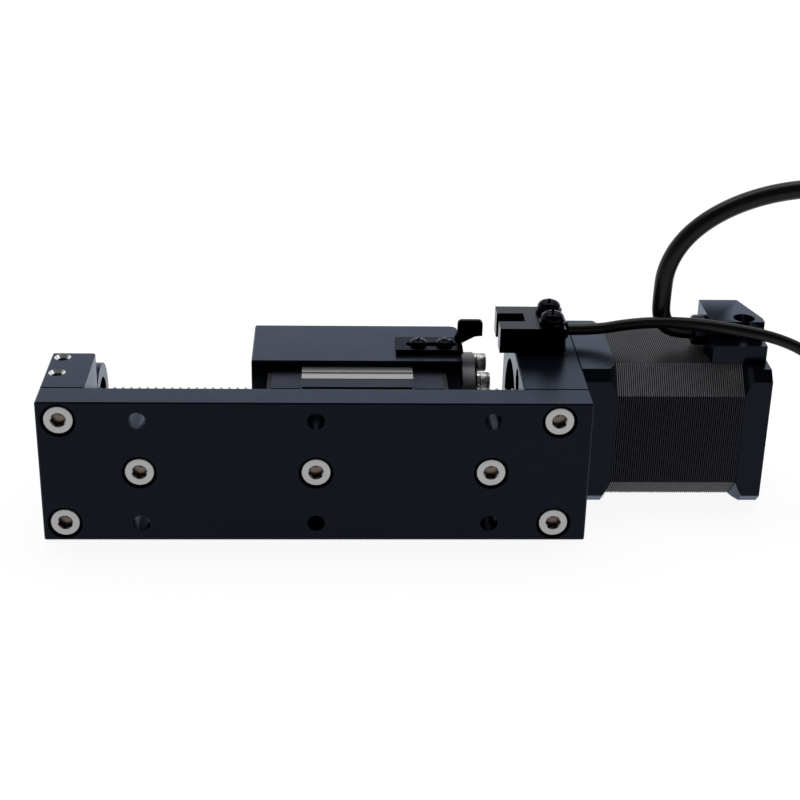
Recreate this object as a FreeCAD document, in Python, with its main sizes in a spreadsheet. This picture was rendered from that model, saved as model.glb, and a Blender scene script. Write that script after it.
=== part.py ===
import FreeCAD
import Part
import Sketcher
import math
import os
import re

# Ball screw linear actuator with a direct-mounted stepping motor, in millimetres.
# It stands as photographed, on the long edge of its base plate: +X runs along the screw to the
# motor, +Y from the mounting face to the table, +Z up. All lengths below are measured from the
# plate's lower corner at the idle end; the origin of the frame is the middle of the footprint.

SIZES = {
    # base plate
    "plate_length": 125.0,
    "plate_height": 8.0,
    "base_width": 35.0,
    "edge_bevel": 0.3,
    "socket_share": 0.6,
    "hole_start": 22.5,
    "hole_pitch": 40.0,
    "hole_row": 13.0,
    "mount_hole_radius": 2.0,
    # clearances
    "fit": 0.03,
    "screw_clearance": 0.25,
    "running_gap": 0.3,
    # M4 socket screws through the plate
    "plate_screw_radius": 2.0,
    "plate_screw_head_radius": 3.5,
    "plate_screw_head_height": 4.0,
    "plate_screw_hex": 3.0,
    "plate_sink_radius": 4.0,
    "plate_sink_depth": 4.3,
    "support_screw_length": 10.0,
    "rail_screw_length": 8.0,
    "thread_runout": 0.4,
    # axis of the screw over the mounting face
    "axis_height": 35.0,
    # idle support
    "idle_length": 10.0,
    "idle_shoulder_height": 28.0,
    "idle_ring_radius": 11.0,
    "idle_lip_length": 3.0,
    "idle_lip_radius": 5.6,
    "switch_hole_radius": 1.25,
    "switch_hole_depth": 6.0,
    "switch_hole_inset": 2.7,
    "switch_hole_low": 16.4,
    "switch_hole_spacing": 8.9,
    # motor support
    "support_length": 15.0,
    "support_top": 53.5,
    "support_recess_radius": 12.5,
    "support_recess_depth": 5.0,
    "support_lip_radius": 8.6,
    "support_lip_length": 1.0,
    # bearings: bore, outside and width
    "idle_bearing_bore": 3.0,
    "idle_bearing_outside": 7.5,
    "idle_bearing_width": 5.0,
    "front_bearing_bore": 4.0,
    "front_bearing_outside": 11.0,
    "front_bearing_width": 7.0,
    "rear_bearing_bore": 2.5,
    "rear_bearing_outside": 5.5,
    "rear_bearing_width": 4.0,
    "ring_share": 0.3,
    "raceway_mouth": 0.4,
    "raceway_floor": 0.2,
    "ball_share": 0.46,
    "raceway_share": 0.09,
    # ball screw
    "screw_radius": 5.0,
    "screw_tip": 1.0,
    "circlip_gap": 0.05,
    "circlip_width": 0.8,
    "circlip_groove_depth": 0.25,
    "circlip_radius": 4.6,
    "circlip_mouth": 1.2,
    "lock_nut_length": 3.5,
    "lock_nut_radius": 6.0,
    "lock_nut_notch": 1.0,
    "rotor_shaft_radius": 3.0,
    "screw_chamfer": 0.5,
    # profile rail
    "rail_end_gap": 0.1,
    "rail_width": 15.0,
    "rail_height": 10.0,
    "rail_bevel": 0.8,
    "track_low": 4.2,
    "track_high": 8.4,
    "track_depth": 1.5,
    "track_slope": 1.4,
    "guide_gap": 0.25,
    # guide block on the rail
    "guide_assembly_height": 16.0,
    "guide_width": 32.0,
    "guide_under": 4.0,
    "guide_steel_length": 26.0,
    "guide_cap_length": 7.05,
    "guide_cap_inset": 0.5,
    "guide_cap_low": 0.6,
    "guide_seal_length": 1.0,
    "guide_seal_inset": 1.2,
    "guide_side_low": 9.0,
    "guide_lip": 0.6,
    "guide_groove_height": 12.2,
    "guide_groove_width": 0.5,
    # table
    "table_start": 47.0,
    "table_length": 50.0,
    "table_height": 22.0,
    "table_side_gap": 0.1,
    "table_corner": 2.0,
    "table_hole_radius": 1.65,
    "table_hole_depth": 8.0,
    "table_hole_length_pitch": 36.0,
    "table_hole_width_pitch": 25.0,
    "table_screw_radius": 1.5,
    "table_screw_head_radius": 2.75,
    "table_screw_head_height": 3.0,
    "table_screw_hex": 2.5,
    "table_screw_length": 16.0,
    "table_screw_grip": 4.0,
    "guide_hole_length_pitch": 20.0,
    "guide_hole_width_pitch": 25.0,
    "sink_clearance": 0.2,
    # ball nut
    "nut_flange_radius": 14.0,
    "nut_flange_length": 4.0,
    "nut_flat_half": 9.25,
    "nut_body_radius": 9.0,
    "nut_body_length": 20.0,
    "nut_bevel": 0.5,
    "wiper_length": 1.5,
    "wiper_radius": 7.0,
    "nut_screw_circle": 11.5,
    "nut_screw_angle": 30.0,
    "nut_screw_radius": 1.25,
    "nut_screw_head_radius": 2.25,
    "nut_screw_head_height": 2.5,
    "nut_screw_hex": 2.0,
    "nut_screw_grip": 4.5,
    "nut_washer_radius": 2.4,
    "nut_washer_thickness": 0.6,
    "wiper_overrun": 0.1,
    # flag that trips the sensor
    "flag_thickness": 1.2,
    "flag_offset": 34.3,
    "flag_length": 16.1,
    "flag_near": 28.1,
    "flag_width": 8.1,
    "flag_slot_line": 3.6,
    "flag_slot_start": 2.5,
    "flag_slot_length": 12.2,
    "flag_slot_radius": 1.1,
    "flag_blade_foot": 14.3,
    "flag_blade_neck": 15.1,
    "flag_blade_tip": 21.2,
    "flag_slope": 1.8,
    "flag_drop": 0.2,
    "flag_blade_top": 6.0,
    "flag_blade_under": 2.0,
    "flag_blade_corner": 1.0,
    "flag_screw_first": 5.5,
    "flag_screw_pitch": 6.3,
    "flag_screw_radius": 1.0,
    "flag_screw_head_radius": 2.05,
    "flag_screw_head_height": 1.3,
    "flag_screw_length": 4.0,
    # slot sensor
    "sensor_start": 106.2,
    "sensor_length": 15.8,
    "sensor_near": 29.0,
    "sensor_width": 14.6,
    "sensor_height": 6.3,
    "sensor_slot_near": 4.8,
    "sensor_slot_width": 5.2,
    "sensor_slot_depth": 6.4,
    "sensor_window_width": 0.4,
    "sensor_window_size": 1.4,
    "sensor_boss_length": 1.3,
    "sensor_boss_radius": 2.1,
    "sensor_boss_height": 3.2,
    "sensor_screw_inset": 12.8,
    "sensor_screw_spacing": 7.4,
    "sensor_screw_radius": 1.5,
    "sensor_screw_head_radius": 2.8,
    "sensor_screw_head_height": 2.3,
    "sensor_screw_length": 12.0,
    "sensor_washer_radius": 3.2,
    "sensor_washer_thickness": 0.8,
    # stepping motor
    "motor_side": 35.0,
    "front_cap_length": 8.4,
    "stack_length": 30.5,
    "rear_cap_length": 6.2,
    "cap_corner": 2.4,
    "stack_corner": 6.0,
    "stack_inset": 0.05,
    "flare_length": 1.8,
    "motor_bolt_gap": 0.5,
    "pilot_radius": 11.0,
    "pilot_length": 2.0,
    "front_cap_bore": 7.0,
    "coil_room_radius": 14.2,
    "front_coil_room": 4.4,
    "rear_coil_room": 3.0,
    "bearing_boss_radius": 7.4,
    "rear_bearing_seat": 5.4,
    "motor_bolt_half": 13.0,
    "motor_bolt_radius": 1.5,
    "motor_bolt_head_radius": 2.75,
    "motor_bolt_head_height": 2.0,
    "motor_bolt_reach": 3.0,
    "motor_screw_length": 10.0,
    "motor_screw_head_height": 3.0,
    "motor_screw_hex": 2.5,
    "motor_screw_sink": 10.0,
    "motor_screw_sink_radius": 3.25,
    "pole_radius": 9.3,
    "pole_tip": 0.9,
    "pole_tip_half": 2.9,
    "pole_half": 1.8,
    "coil_thickness": 1.1,
    "coil_height": 2.7,
    "coil_overhang": 2.2,
    "coil_clearance": 0.1,
    "rotor_radius": 8.9,
    "rotor_cup_length": 11.5,
    "rotor_tooth_depth": 0.6,
    "magnet_length": 3.0,
    "magnet_radius": 7.6,
    "spring_thickness": 0.3,
    "spring_width": 1.4,
    "rotor_runout": 0.2,
    "journal_relief": 0.1,
    "pole_root_overlap": 0.3,
    # moulded cable outlet on the motor
    "outlet_start": 156.5,
    "outlet_length": 13.0,
    "outlet_near": 23.5,
    "outlet_far": 43.0,
    "outlet_step_height": 4.4,
    "outlet_top_height": 8.6,
    "outlet_step_near": 28.5,
    "outlet_taper": 3.6,
    "outlet_taper_near": 31.0,
    "outlet_screw_x": 8.5,
    "outlet_screw_y": 7.5,
    "outlet_sink_radius": 2.6,
    "outlet_screw_head_radius": 2.2,
    "outlet_screw_head_height": 1.4,
    "outlet_screw_radius": 1.1,
    "outlet_screw_length": 5.0,
    "outlet_floor": 3.4,
    "gland_height": 3.9,
    "gland_radius": 3.7,
    "gland_bevel": 0.6,
    "gland_length": 3.3,
    "gland_line": 35.0,
    # cables
    "motor_cable_radius": 2.2,
    "sensor_cable_radius": 1.4,
    "motor_coil_radius": 24.0,
    "sensor_coil_radius": 15.4,
    "coil_lead": 2.0,
    "motor_plug_side": 12.0,
    "cable_lift": 0.05,
    "motor_plug_length": 14.0,
    "motor_plug_width": 11.0,
    "motor_plug_height": 6.5,
    "sensor_plug_length": 10.0,
    "sensor_plug_width": 7.6,
    "sensor_plug_height": 4.6,
}

# Places and sizes that follow from the ones above.
DERIVED = {
    "origin_x": "(plate_length + front_cap_length + stack_length + rear_cap_length) / 2",
    "origin_y": "support_top / 2",
    "axis_z": "base_width / 2",
    "hole_middle": "hole_start + hole_pitch",
    "hole_end": "hole_start + 2 * hole_pitch",
    "support_start": "plate_length - support_length",
    "low_row": "axis_z - hole_row",
    "high_row": "axis_z + hole_row",
    "idle_middle": "idle_length / 2",
    "support_middle": "plate_length - support_length / 2",
    "plate_hole_radius": "plate_screw_radius + screw_clearance",
    "plate_thread_radius": "plate_screw_radius + fit",
    "support_thread_depth": "plate_sink_depth + support_screw_length - plate_height + thread_runout",
    "rail_thread_depth": "plate_sink_depth + rail_screw_length - plate_height + thread_runout",
    "idle_bearing_start": "idle_lip_length",
    "front_bearing_start": "support_start + support_recess_depth + support_lip_length",
    "front_bearing_end": "front_bearing_start + front_bearing_width",
    "stack_start": "plate_length + front_cap_length",
    "rear_cap_start": "stack_start + stack_length",
    "rear_bearing_end": "rear_cap_start + rear_bearing_seat - spring_thickness - fit",
    "rear_bearing_start": "rear_bearing_end - rear_bearing_width",
    "stack_middle": "stack_start + stack_length / 2",
    "rotor_start": "stack_middle - magnet_length / 2 - rotor_cup_length",
    "rotor_end": "stack_middle + magnet_length / 2 + rotor_cup_length",
    "rail_half": "rail_width / 2",
    "rail_length": "support_start - idle_length - 2 * rail_end_gap",
    "table_low": "plate_height + guide_assembly_height",
    "table_middle": "table_start + table_length / 2",
    "table_end": "table_start + table_length",
    "guide_low": "plate_height + guide_under",
    "guide_half": "guide_width / 2",
    "guide_start": "table_middle - guide_steel_length / 2",
    "nut_screw_y": "nut_screw_circle * sin(nut_screw_angle)",
    "nut_screw_z": "nut_screw_circle * cos(nut_screw_angle)",
    "nut_bore": "screw_radius + running_gap",
    "nut_seat": "table_end + nut_flange_length",
    "table_sink": "table_height + table_screw_grip - table_screw_length",
    "table_side": "base_width - table_side_gap",
    "sensor_screw_x": "sensor_start + sensor_screw_inset",
    "sensor_screw_near": "sensor_near + sensor_width / 2 - sensor_screw_spacing / 2",
    "sensor_screw_far": "sensor_screw_near + sensor_screw_spacing",
    "motor_low": "axis_z - motor_side / 2",
    "motor_high": "axis_z + motor_side / 2",
    "motor_end": "rear_cap_start + rear_cap_length",
    "motor_screw_seat": "support_start + motor_screw_sink",
    "motor_bolt_tip": "motor_screw_seat + motor_screw_length + motor_bolt_gap",
    "stack_half": "motor_side / 2 - stack_inset",
    "coil_inner": "pole_half + coil_clearance",
    "coil_outer": "coil_inner + coil_thickness",
    "coil_low": "pole_radius + pole_tip + coil_clearance",
}

doc = FreeCAD.newDocument("BallScrewActuator")
sheet = doc.addObject("Spreadsheet::Sheet", "Sizes")
for row, (word, number) in enumerate(SIZES.items(), start=1):
    sheet.set(f"A{row}", word.replace("_", " "))
    sheet.set(f"B{row}", str(number))
    sheet.setAlias(f"B{row}", word)
doc.recompute()

# Sign of each origin plane's normal along its axis.
PLANES = {"XY_Plane": 1, "XZ_Plane": -1, "YZ_Plane": 1}


def bound(formula):
    """Write a formula of size names as one of the sheet's cells."""
    def cell(match):
        word = match.group(0)
        if word in SIZES:
            return "Sizes." + word
        if word in DERIVED:
            return "(" + bound(DERIVED[word]) + ")"
        return word
    return re.sub(r"[a-z_][a-z_0-9]*", cell, formula)


def value(formula):
    """The number that a formula of size names has now."""
    result = sheet.evalExpression(bound(formula))
    return float(getattr(result, "Value", result))


def place(piece, x, y, z):
    """Put a piece's own origin at a point measured from the plate's corner."""
    piece.setExpression("Placement.Base.x", bound(f"{x} - origin_x"))
    piece.setExpression("Placement.Base.y", bound(f"{y} - origin_y"))
    piece.setExpression("Placement.Base.z", bound(z))


def new_body(label, x="0", y="0", z="0"):
    piece = doc.addObject("PartDesign::Body", label)
    piece.Label = label
    piece.AllowCompound = True
    place(piece, x, y, z)
    return piece


def new_sketch(piece, plane, level="0"):
    """A sketch on one of the body's origin planes, moved along that plane's axis."""
    drawing = piece.newObject("Sketcher::SketchObject", piece.Label + "_sketch")
    support = next(f for f in piece.Origin.OriginFeatures if f.Role == plane)
    drawing.AttachmentSupport = [(support, "")]
    drawing.MapMode = "FlatFace"
    sign = "" if PLANES[plane] > 0 else "-"
    drawing.setExpression("AttachmentOffset.Base.z", bound(f"{sign}({level})"))
    return drawing


def pin(drawing, shape, point, x, y):
    """Tie a point of a sketch to the sheet."""
    for kind, axis, formula in (("DistanceX", -2, x), ("DistanceY", -1, y)):
        if formula == "0":
            drawing.addConstraint(Sketcher.Constraint("PointOnObject", shape, point, axis))
            continue
        number = drawing.addConstraint(Sketcher.Constraint(kind, -1, 1, shape, point, value(formula)))
        drawing.setExpression(f"Constraints[{number}]", bound(formula))


def polygon(drawing, corners):
    """A closed outline of straight lines through corners given as formulas."""
    first = drawing.GeometryCount
    spots = [FreeCAD.Vector(value(x), value(y), 0) for x, y in corners]
    for start, end in zip(spots, spots[1:] + spots[:1]):
        drawing.addGeometry(Part.LineSegment(start, end))
    for index, (x, y) in enumerate(corners):
        before = first + (index - 1) % len(corners)
        drawing.addConstraint(Sketcher.Constraint("Coincident", before, 2, first + index, 1))
        pin(drawing, first + index, 1, x, y)


def rectangle(drawing, x1, y1, x2, y2):
    polygon(drawing, [(x1, y1), (x2, y1), (x2, y2), (x1, y2)])


def circle(drawing, x, y, radius):
    centre = FreeCAD.Vector(value(x), value(y), 0)
    shape = drawing.addGeometry(Part.Circle(centre, FreeCAD.Vector(0, 0, 1), value(radius)))
    pin(drawing, shape, 3, x, y)
    number = drawing.addConstraint(Sketcher.Constraint("Radius", shape, value(radius)))
    drawing.setExpression(f"Constraints[{number}]", bound(radius))


def hexagon(drawing, x, y, across):
    corners = []
    for turn in range(6):
        reach = f"({across}) / 2 / cos(30)"
        angle = 60 * turn
        corners.append((f"{x} + {reach} * cos({angle})", f"{y} + {reach} * sin({angle})"))
    polygon(drawing, corners)


def extrude(piece, kind, drawing, depth, toward):
    """A pad or pocket; toward is +1 or -1 along the sketch plane's axis."""
    plane = drawing.AttachmentSupport[0][0].Role
    feature = piece.newObject("PartDesign::" + kind, piece.Label + "_" + kind.lower())
    feature.Profile = drawing
    feature.setExpression("Length", bound(depth))
    along = toward * PLANES[plane]
    feature.Reversed = along < 0 if kind == "Pad" else along > 0
    return feature


def pad(piece, drawing, depth, toward=1):
    return extrude(piece, "Pad", drawing, depth, toward)


def pocket(piece, drawing, depth, toward=1):
    return extrude(piece, "Pocket", drawing, depth, toward)


def turn(piece, kind, corners):
    """Revolve an outline of (along X, radius) corners about the body's X axis."""
    drawing = new_sketch(piece, "XY_Plane")
    polygon(drawing, corners)
    feature = piece.newObject("PartDesign::" + kind, piece.Label + "_" + kind.lower())
    feature.Profile = drawing
    feature.ReferenceAxis = (drawing, ["H_Axis"])
    feature.Angle = 360
    return feature


def ring(piece, kind, start, end, inner, outer):
    return turn(piece, kind, [(start, inner), (end, inner), (end, outer), (start, outer)])


def around(piece, feature, axis, count):
    """Repeat a feature evenly about one of the body's axes."""
    pattern = piece.newObject("PartDesign::PolarPattern", piece.Label + "_pattern")
    pattern.Originals = [feature]
    line = next(f for f in piece.Origin.OriginFeatures if f.Role == axis)
    pattern.Axis = (line, [""])
    pattern.Angle = 360
    pattern.Occurrences = count
    piece.Tip = pattern
    return pattern


def edges_where(feature, test):
    """Names of a feature's edges whose two ends and middle all pass a test."""
    doc.recompute()
    names = []
    for number, edge in enumerate(feature.Shape.Edges, start=1):
        middle = edge.valueAt((edge.FirstParameter + edge.LastParameter) / 2)
        points = [vertex.Point for vertex in edge.Vertexes] + [middle]
        if all(test(point) for point in points):
            names.append(f"Edge{number}")
    return names


def near(number, formula):
    return abs(number - value(formula)) < 1e-4


def bevel(piece, feature, size, test, kind="Chamfer"):
    """Chamfer or round the edges that pass a test."""
    names = edges_where(feature, test)
    edge_break = piece.newObject("PartDesign::" + kind, piece.Label + "_" + kind.lower())
    edge_break.Base = (feature, names)
    edge_break.setExpression("Size" if kind == "Chamfer" else "Radius", bound(size))
    piece.Tip = edge_break
    return edge_break


def box_edges(x1, x2, y1, y2, z1, z2):
    """A test for the twelve outer edges of a block."""
    def test(point):
        sides = [near(point.x, x1) or near(point.x, x2),
                 near(point.y, y1) or near(point.y, y2),
                 near(point.z, z1) or near(point.z, z2)]
        return sum(sides) >= 2
    return test


def headed_screws(label, plane, spots, seat, length, head_height, radius, head_radius, into, hex_size=None):
    """A group of screws: heads on one side of the seat, shanks on the other."""
    piece = new_body(label)
    heads = new_sketch(piece, plane, seat)
    shanks = new_sketch(piece, plane, seat)
    for x, y in spots:
        circle(heads, x, y, head_radius)
        circle(shanks, x, y, radius)
    pad(piece, heads, head_height, -into)
    pad(piece, shanks, length, into)
    if hex_size:
        sockets = new_sketch(piece, plane, f"{seat} - {into} * ({head_height})")
        for x, y in spots:
            hexagon(sockets, x, y, hex_size)
        pocket(piece, sockets, f"({head_height}) * socket_share", into)
    return piece


# Base plate


def base_plate():
    piece = new_body("base_plate")
    outline = new_sketch(piece, "XZ_Plane")
    rectangle(outline, "0", "0", "plate_length", "base_width")
    block = pad(piece, outline, "plate_height")
    bevel(piece, block, "edge_bevel",
          box_edges("0", "plate_length", "0", "plate_height", "0", "base_width"))
    through = new_sketch(piece, "XZ_Plane")
    sinks = new_sketch(piece, "XZ_Plane")
    for x, z in SUPPORT_SPOTS + RAIL_SPOTS:
        circle(through, x, z, "plate_hole_radius")
        circle(sinks, x, z, "plate_sink_radius")
    for x in ("hole_start", "hole_middle", "hole_end"):
        for z in ("low_row", "high_row"):
            circle(through, x, z, "mount_hole_radius")
    pocket(piece, through, "plate_height")
    pocket(piece, sinks, "plate_sink_depth")


SUPPORT_SPOTS = [(x, z) for x in ("idle_middle", "support_middle") for z in ("low_row", "high_row")]
RAIL_SPOTS = [(x, "axis_z") for x in ("hole_start", "hole_middle", "hole_end")]


def plate_screws():
    for label, spots, length in (("support_screws", SUPPORT_SPOTS, "support_screw_length"),
                                 ("rail_screws", RAIL_SPOTS, "rail_screw_length")):
        headed_screws(label, "XZ_Plane", spots, "plate_sink_depth", length,
                      "plate_screw_head_height", "plate_screw_radius", "plate_screw_head_radius",
                      1, "plate_screw_hex")


# Supports at both ends


def idle_support():
    piece = new_body("idle_support")
    foot = new_sketch(piece, "YZ_Plane")
    rectangle(foot, "plate_height", "0", "idle_shoulder_height", "base_width")
    pad(piece, foot, "idle_length")
    eye = new_sketch(piece, "YZ_Plane")
    circle(eye, "axis_height", "axis_z", "idle_ring_radius")
    block = pad(piece, eye, "idle_length")
    bevel(piece, block, "edge_bevel",
          box_edges("0", "idle_length", "plate_height", "idle_shoulder_height", "0", "base_width"))
    opening = new_sketch(piece, "YZ_Plane")
    circle(opening, "axis_height", "axis_z", "idle_lip_radius")
    pocket(piece, opening, "idle_lip_length")
    seat = new_sketch(piece, "YZ_Plane", "idle_length")
    circle(seat, "axis_height", "axis_z", "idle_bearing_outside + fit")
    pocket(piece, seat, "idle_length - idle_lip_length", -1)
    threads = new_sketch(piece, "XZ_Plane", "plate_height")
    for z in ("low_row", "high_row"):
        circle(threads, "idle_middle", z, "plate_thread_radius")
    pocket(piece, threads, "support_thread_depth")
    switch_holes = new_sketch(piece, "XY_Plane", "base_width")
    for y in ("switch_hole_low", "switch_hole_low + switch_hole_spacing"):
        circle(switch_holes, "switch_hole_inset", y, "switch_hole_radius")
    pocket(piece, switch_holes, "switch_hole_depth", -1)


def motor_support():
    piece = new_body("motor_support", "support_start")
    outline = new_sketch(piece, "YZ_Plane")
    rectangle(outline, "plate_height", "0", "support_top", "base_width")
    block = pad(piece, outline, "support_length")
    bevel(piece, block, "edge_bevel",
          box_edges("0", "support_length", "plate_height", "support_top", "0", "base_width"))
    recess = new_sketch(piece, "YZ_Plane")
    circle(recess, "axis_height", "axis_z", "support_recess_radius")
    pocket(piece, recess, "support_recess_depth")
    lip = new_sketch(piece, "YZ_Plane")
    circle(lip, "axis_height", "axis_z", "support_lip_radius")
    pocket(piece, lip, "support_length")
    seat = new_sketch(piece, "YZ_Plane", "support_length")
    circle(seat, "axis_height", "axis_z", "front_bearing_outside + fit")
    pocket(piece, seat, "plate_length - front_bearing_start", -1)
    sinks = new_sketch(piece, "YZ_Plane")
    through = new_sketch(piece, "YZ_Plane")
    for y, z in motor_corners():
        circle(sinks, y, z, "motor_screw_sink_radius")
        circle(through, y, z, "motor_bolt_radius + screw_clearance")
    pocket(piece, sinks, "motor_screw_sink")
    pocket(piece, through, "support_length")
    threads = new_sketch(piece, "XZ_Plane", "plate_height")
    for z in ("low_row", "high_row"):
        circle(threads, "support_middle - support_start", z, "plate_thread_radius")
    pocket(piece, threads, "support_thread_depth")
    sensor_holes = new_sketch(piece, "XY_Plane", "base_width")
    for y in ("sensor_screw_near", "sensor_screw_far"):
        circle(sensor_holes, "sensor_screw_x - support_start", y, "sensor_screw_radius + fit")
    pocket(piece, sensor_holes,
           "sensor_screw_length - sensor_height - sensor_washer_thickness + thread_runout", -1)


def motor_corners(y="axis_height", z="axis_z"):
    """The four corners of the motor's square bolt pattern."""
    return [(f"{y} {a} motor_bolt_half", f"{z} {b} motor_bolt_half") for a in "+-" for b in "+-"]


# Rail and the block that runs on it


def guide_rail():
    piece = new_body("guide_rail", "idle_length + rail_end_gap", "plate_height", "axis_z")
    side = [("0", "rail_half"),
            ("track_low", "rail_half"),
            ("track_low + track_slope", "rail_half - track_depth"),
            ("track_high - track_slope", "rail_half - track_depth"),
            ("track_high", "rail_half"),
            ("rail_height - rail_bevel", "rail_half"),
            ("rail_height", "rail_half - rail_bevel")]
    outline = new_sketch(piece, "YZ_Plane")
    polygon(outline, mirrored(side))
    pad(piece, outline, "rail_length")
    threads = new_sketch(piece, "XZ_Plane")
    for x in ("hole_start", "hole_middle", "hole_end"):
        circle(threads, f"{x} - idle_length - rail_end_gap", "0", "plate_thread_radius")
    pocket(piece, threads, "rail_thread_depth")


def mirrored(side):
    """A whole outline from one side of it, in (height, half width) corners."""
    return side + [(y, f"-({z})") for y, z in reversed(side)]


def channel(lift, slack):
    """Inner outline of a piece that straddles the rail, from its lower edge up."""
    return [(lift, f"rail_half + {slack}"),
            (f"track_low + 1.2 * {slack}", f"rail_half + {slack}"),
            (f"track_low + track_slope + {slack}", f"rail_half - track_depth + {slack}"),
            (f"track_high - track_slope - {slack}", f"rail_half - track_depth + {slack}"),
            (f"track_high - 1.2 * {slack}", f"rail_half + {slack}"),
            (f"rail_height - rail_bevel + {slack} / 2", f"rail_half + {slack}"),
            (f"rail_height + {slack}", f"rail_half - rail_bevel + {slack} / 2")]


def straddling(label, start, length, side, slack):
    """A length of profile that runs along the rail."""
    piece = new_body(label, start, "plate_height", "axis_z")
    outer = new_sketch(piece, "YZ_Plane")
    inner = channel(side[0][0], slack)
    polygon(outer, side + [(y, f"-({z})") for y, z in reversed(side)]
            + [(y, f"-({z})") for y, z in inner] + list(reversed(inner)))
    pad(piece, outer, length)
    return piece


def guide_block():
    side = [("guide_under", "guide_half - guide_lip"),
            ("guide_side_low", "guide_half - guide_lip"),
            ("guide_side_low", "guide_half"),
            ("guide_groove_height", "guide_half"),
            ("guide_groove_height + guide_groove_width / 2", "guide_half - guide_groove_width"),
            ("guide_groove_height + guide_groove_width", "guide_half"),
            ("guide_assembly_height", "guide_half")]
    piece = straddling("guide_block", "guide_start", "guide_steel_length", side, "guide_gap")
    threads = new_sketch(piece, "XZ_Plane", "guide_assembly_height")
    for x, z in guide_pattern("guide_steel_length / 2", "0"):
        circle(threads, x, z, "table_screw_radius + fit")
    pocket(piece, threads, "table_screw_grip + thread_runout", -1)


def guide_pattern(x, z):
    """The four screws between table and guide block."""
    return [(f"{x} {a} guide_hole_length_pitch / 2", f"{z} {b} guide_hole_width_pitch / 2")
            for a in "+-" for b in "+-"]


def guide_ends():
    """End caps that turn the balls round, and the seals outside them."""
    cap_side = [("guide_under + guide_cap_low", "guide_half - guide_cap_inset"),
                ("guide_assembly_height - guide_cap_inset", "guide_half - guide_cap_inset")]
    seal_side = [("guide_under + guide_seal_inset", "guide_half - guide_seal_inset"),
                 ("guide_assembly_height - guide_seal_inset", "guide_half - guide_seal_inset")]
    ends = (("left", "guide_start - guide_cap_length", "guide_start - guide_cap_length - guide_seal_length"),
            ("right", "guide_start + guide_steel_length",
             "guide_start + guide_steel_length + guide_cap_length"))
    for name, cap_start, seal_start in ends:
        straddling(f"guide_end_cap_{name}", cap_start, "guide_cap_length", cap_side, "guide_gap")
        straddling(f"guide_seal_{name}", seal_start, "guide_seal_length", seal_side, "guide_gap")


# Table, ball nut and flag


def carriage_table():
    piece = new_body("carriage_table", "table_start", "table_low", "table_side_gap")
    outline = new_sketch(piece, "XZ_Plane")
    rectangle(outline, "0", "0", "table_length", "base_width - 2 * table_side_gap")
    block = pad(piece, outline, "table_height")
    rounded = bevel(piece, block, "table_corner",
                    lambda p: near(p.x, "table_length") and near(p.y, "table_height"), "Fillet")
    bevel(piece, rounded, "edge_bevel", lambda p: near(p.y, "0") or near(p.x, "0"))
    axis_y = "axis_height - table_low"
    axis_z = "axis_z - table_side_gap"
    bore = new_sketch(piece, "YZ_Plane", "table_length")
    circle(bore, axis_y, axis_z, "nut_body_radius + fit")
    pocket(piece, bore, "nut_body_length + running_gap", -1)
    passage = new_sketch(piece, "YZ_Plane")
    circle(passage, axis_y, axis_z, "screw_radius + 2 * running_gap")
    pocket(piece, passage, "table_length")
    nut_threads = new_sketch(piece, "YZ_Plane", "table_length")
    for y, z in nut_pattern(axis_y, axis_z):
        circle(nut_threads, y, z, "nut_screw_radius + fit")
    pocket(piece, nut_threads, "nut_screw_grip + thread_runout", -1)
    top = new_sketch(piece, "XZ_Plane", "table_height")
    sinks = new_sketch(piece, "XZ_Plane", "table_height")
    through = new_sketch(piece, "XZ_Plane", "table_height")
    for x, z in guide_pattern("table_length / 2", axis_z):
        circle(sinks, x, z, "table_screw_head_radius + sink_clearance")
        circle(through, x, z, "table_screw_radius + fit")
    for a in "+-":
        for b in "+-":
            circle(top, f"table_length / 2 {a} table_hole_length_pitch / 2",
                   f"{axis_z} {b} table_hole_width_pitch / 2", "table_hole_radius")
    pocket(piece, top, "table_hole_depth", -1)
    pocket(piece, sinks, "table_sink", -1)
    pocket(piece, through, "table_height", -1)
    flag_threads = new_sketch(piece, "XY_Plane", "base_width - 2 * table_side_gap")
    for x in ("flag_screw_first", "flag_screw_first + flag_screw_pitch"):
        circle(flag_threads, f"flag_offset + {x}", "flag_near + flag_slot_line - table_low",
               "flag_screw_radius + fit")
    pocket(piece, flag_threads, "flag_screw_length - flag_thickness + thread_runout", -1)


def table_screws():
    headed_screws("table_screws", "XZ_Plane", guide_pattern("table_middle", "axis_z"),
                  "table_low + table_height - table_sink", "table_screw_length",
                  "table_screw_head_height", "table_screw_radius", "table_screw_head_radius",
                  -1, "table_screw_hex")


def nut_pattern(y, z):
    """The four flange screws, 30 degrees either side of the upright."""
    return [(f"{y} {a} nut_screw_y", f"{z} {b} nut_screw_z") for a in "+-" for b in "+-"]


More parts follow.
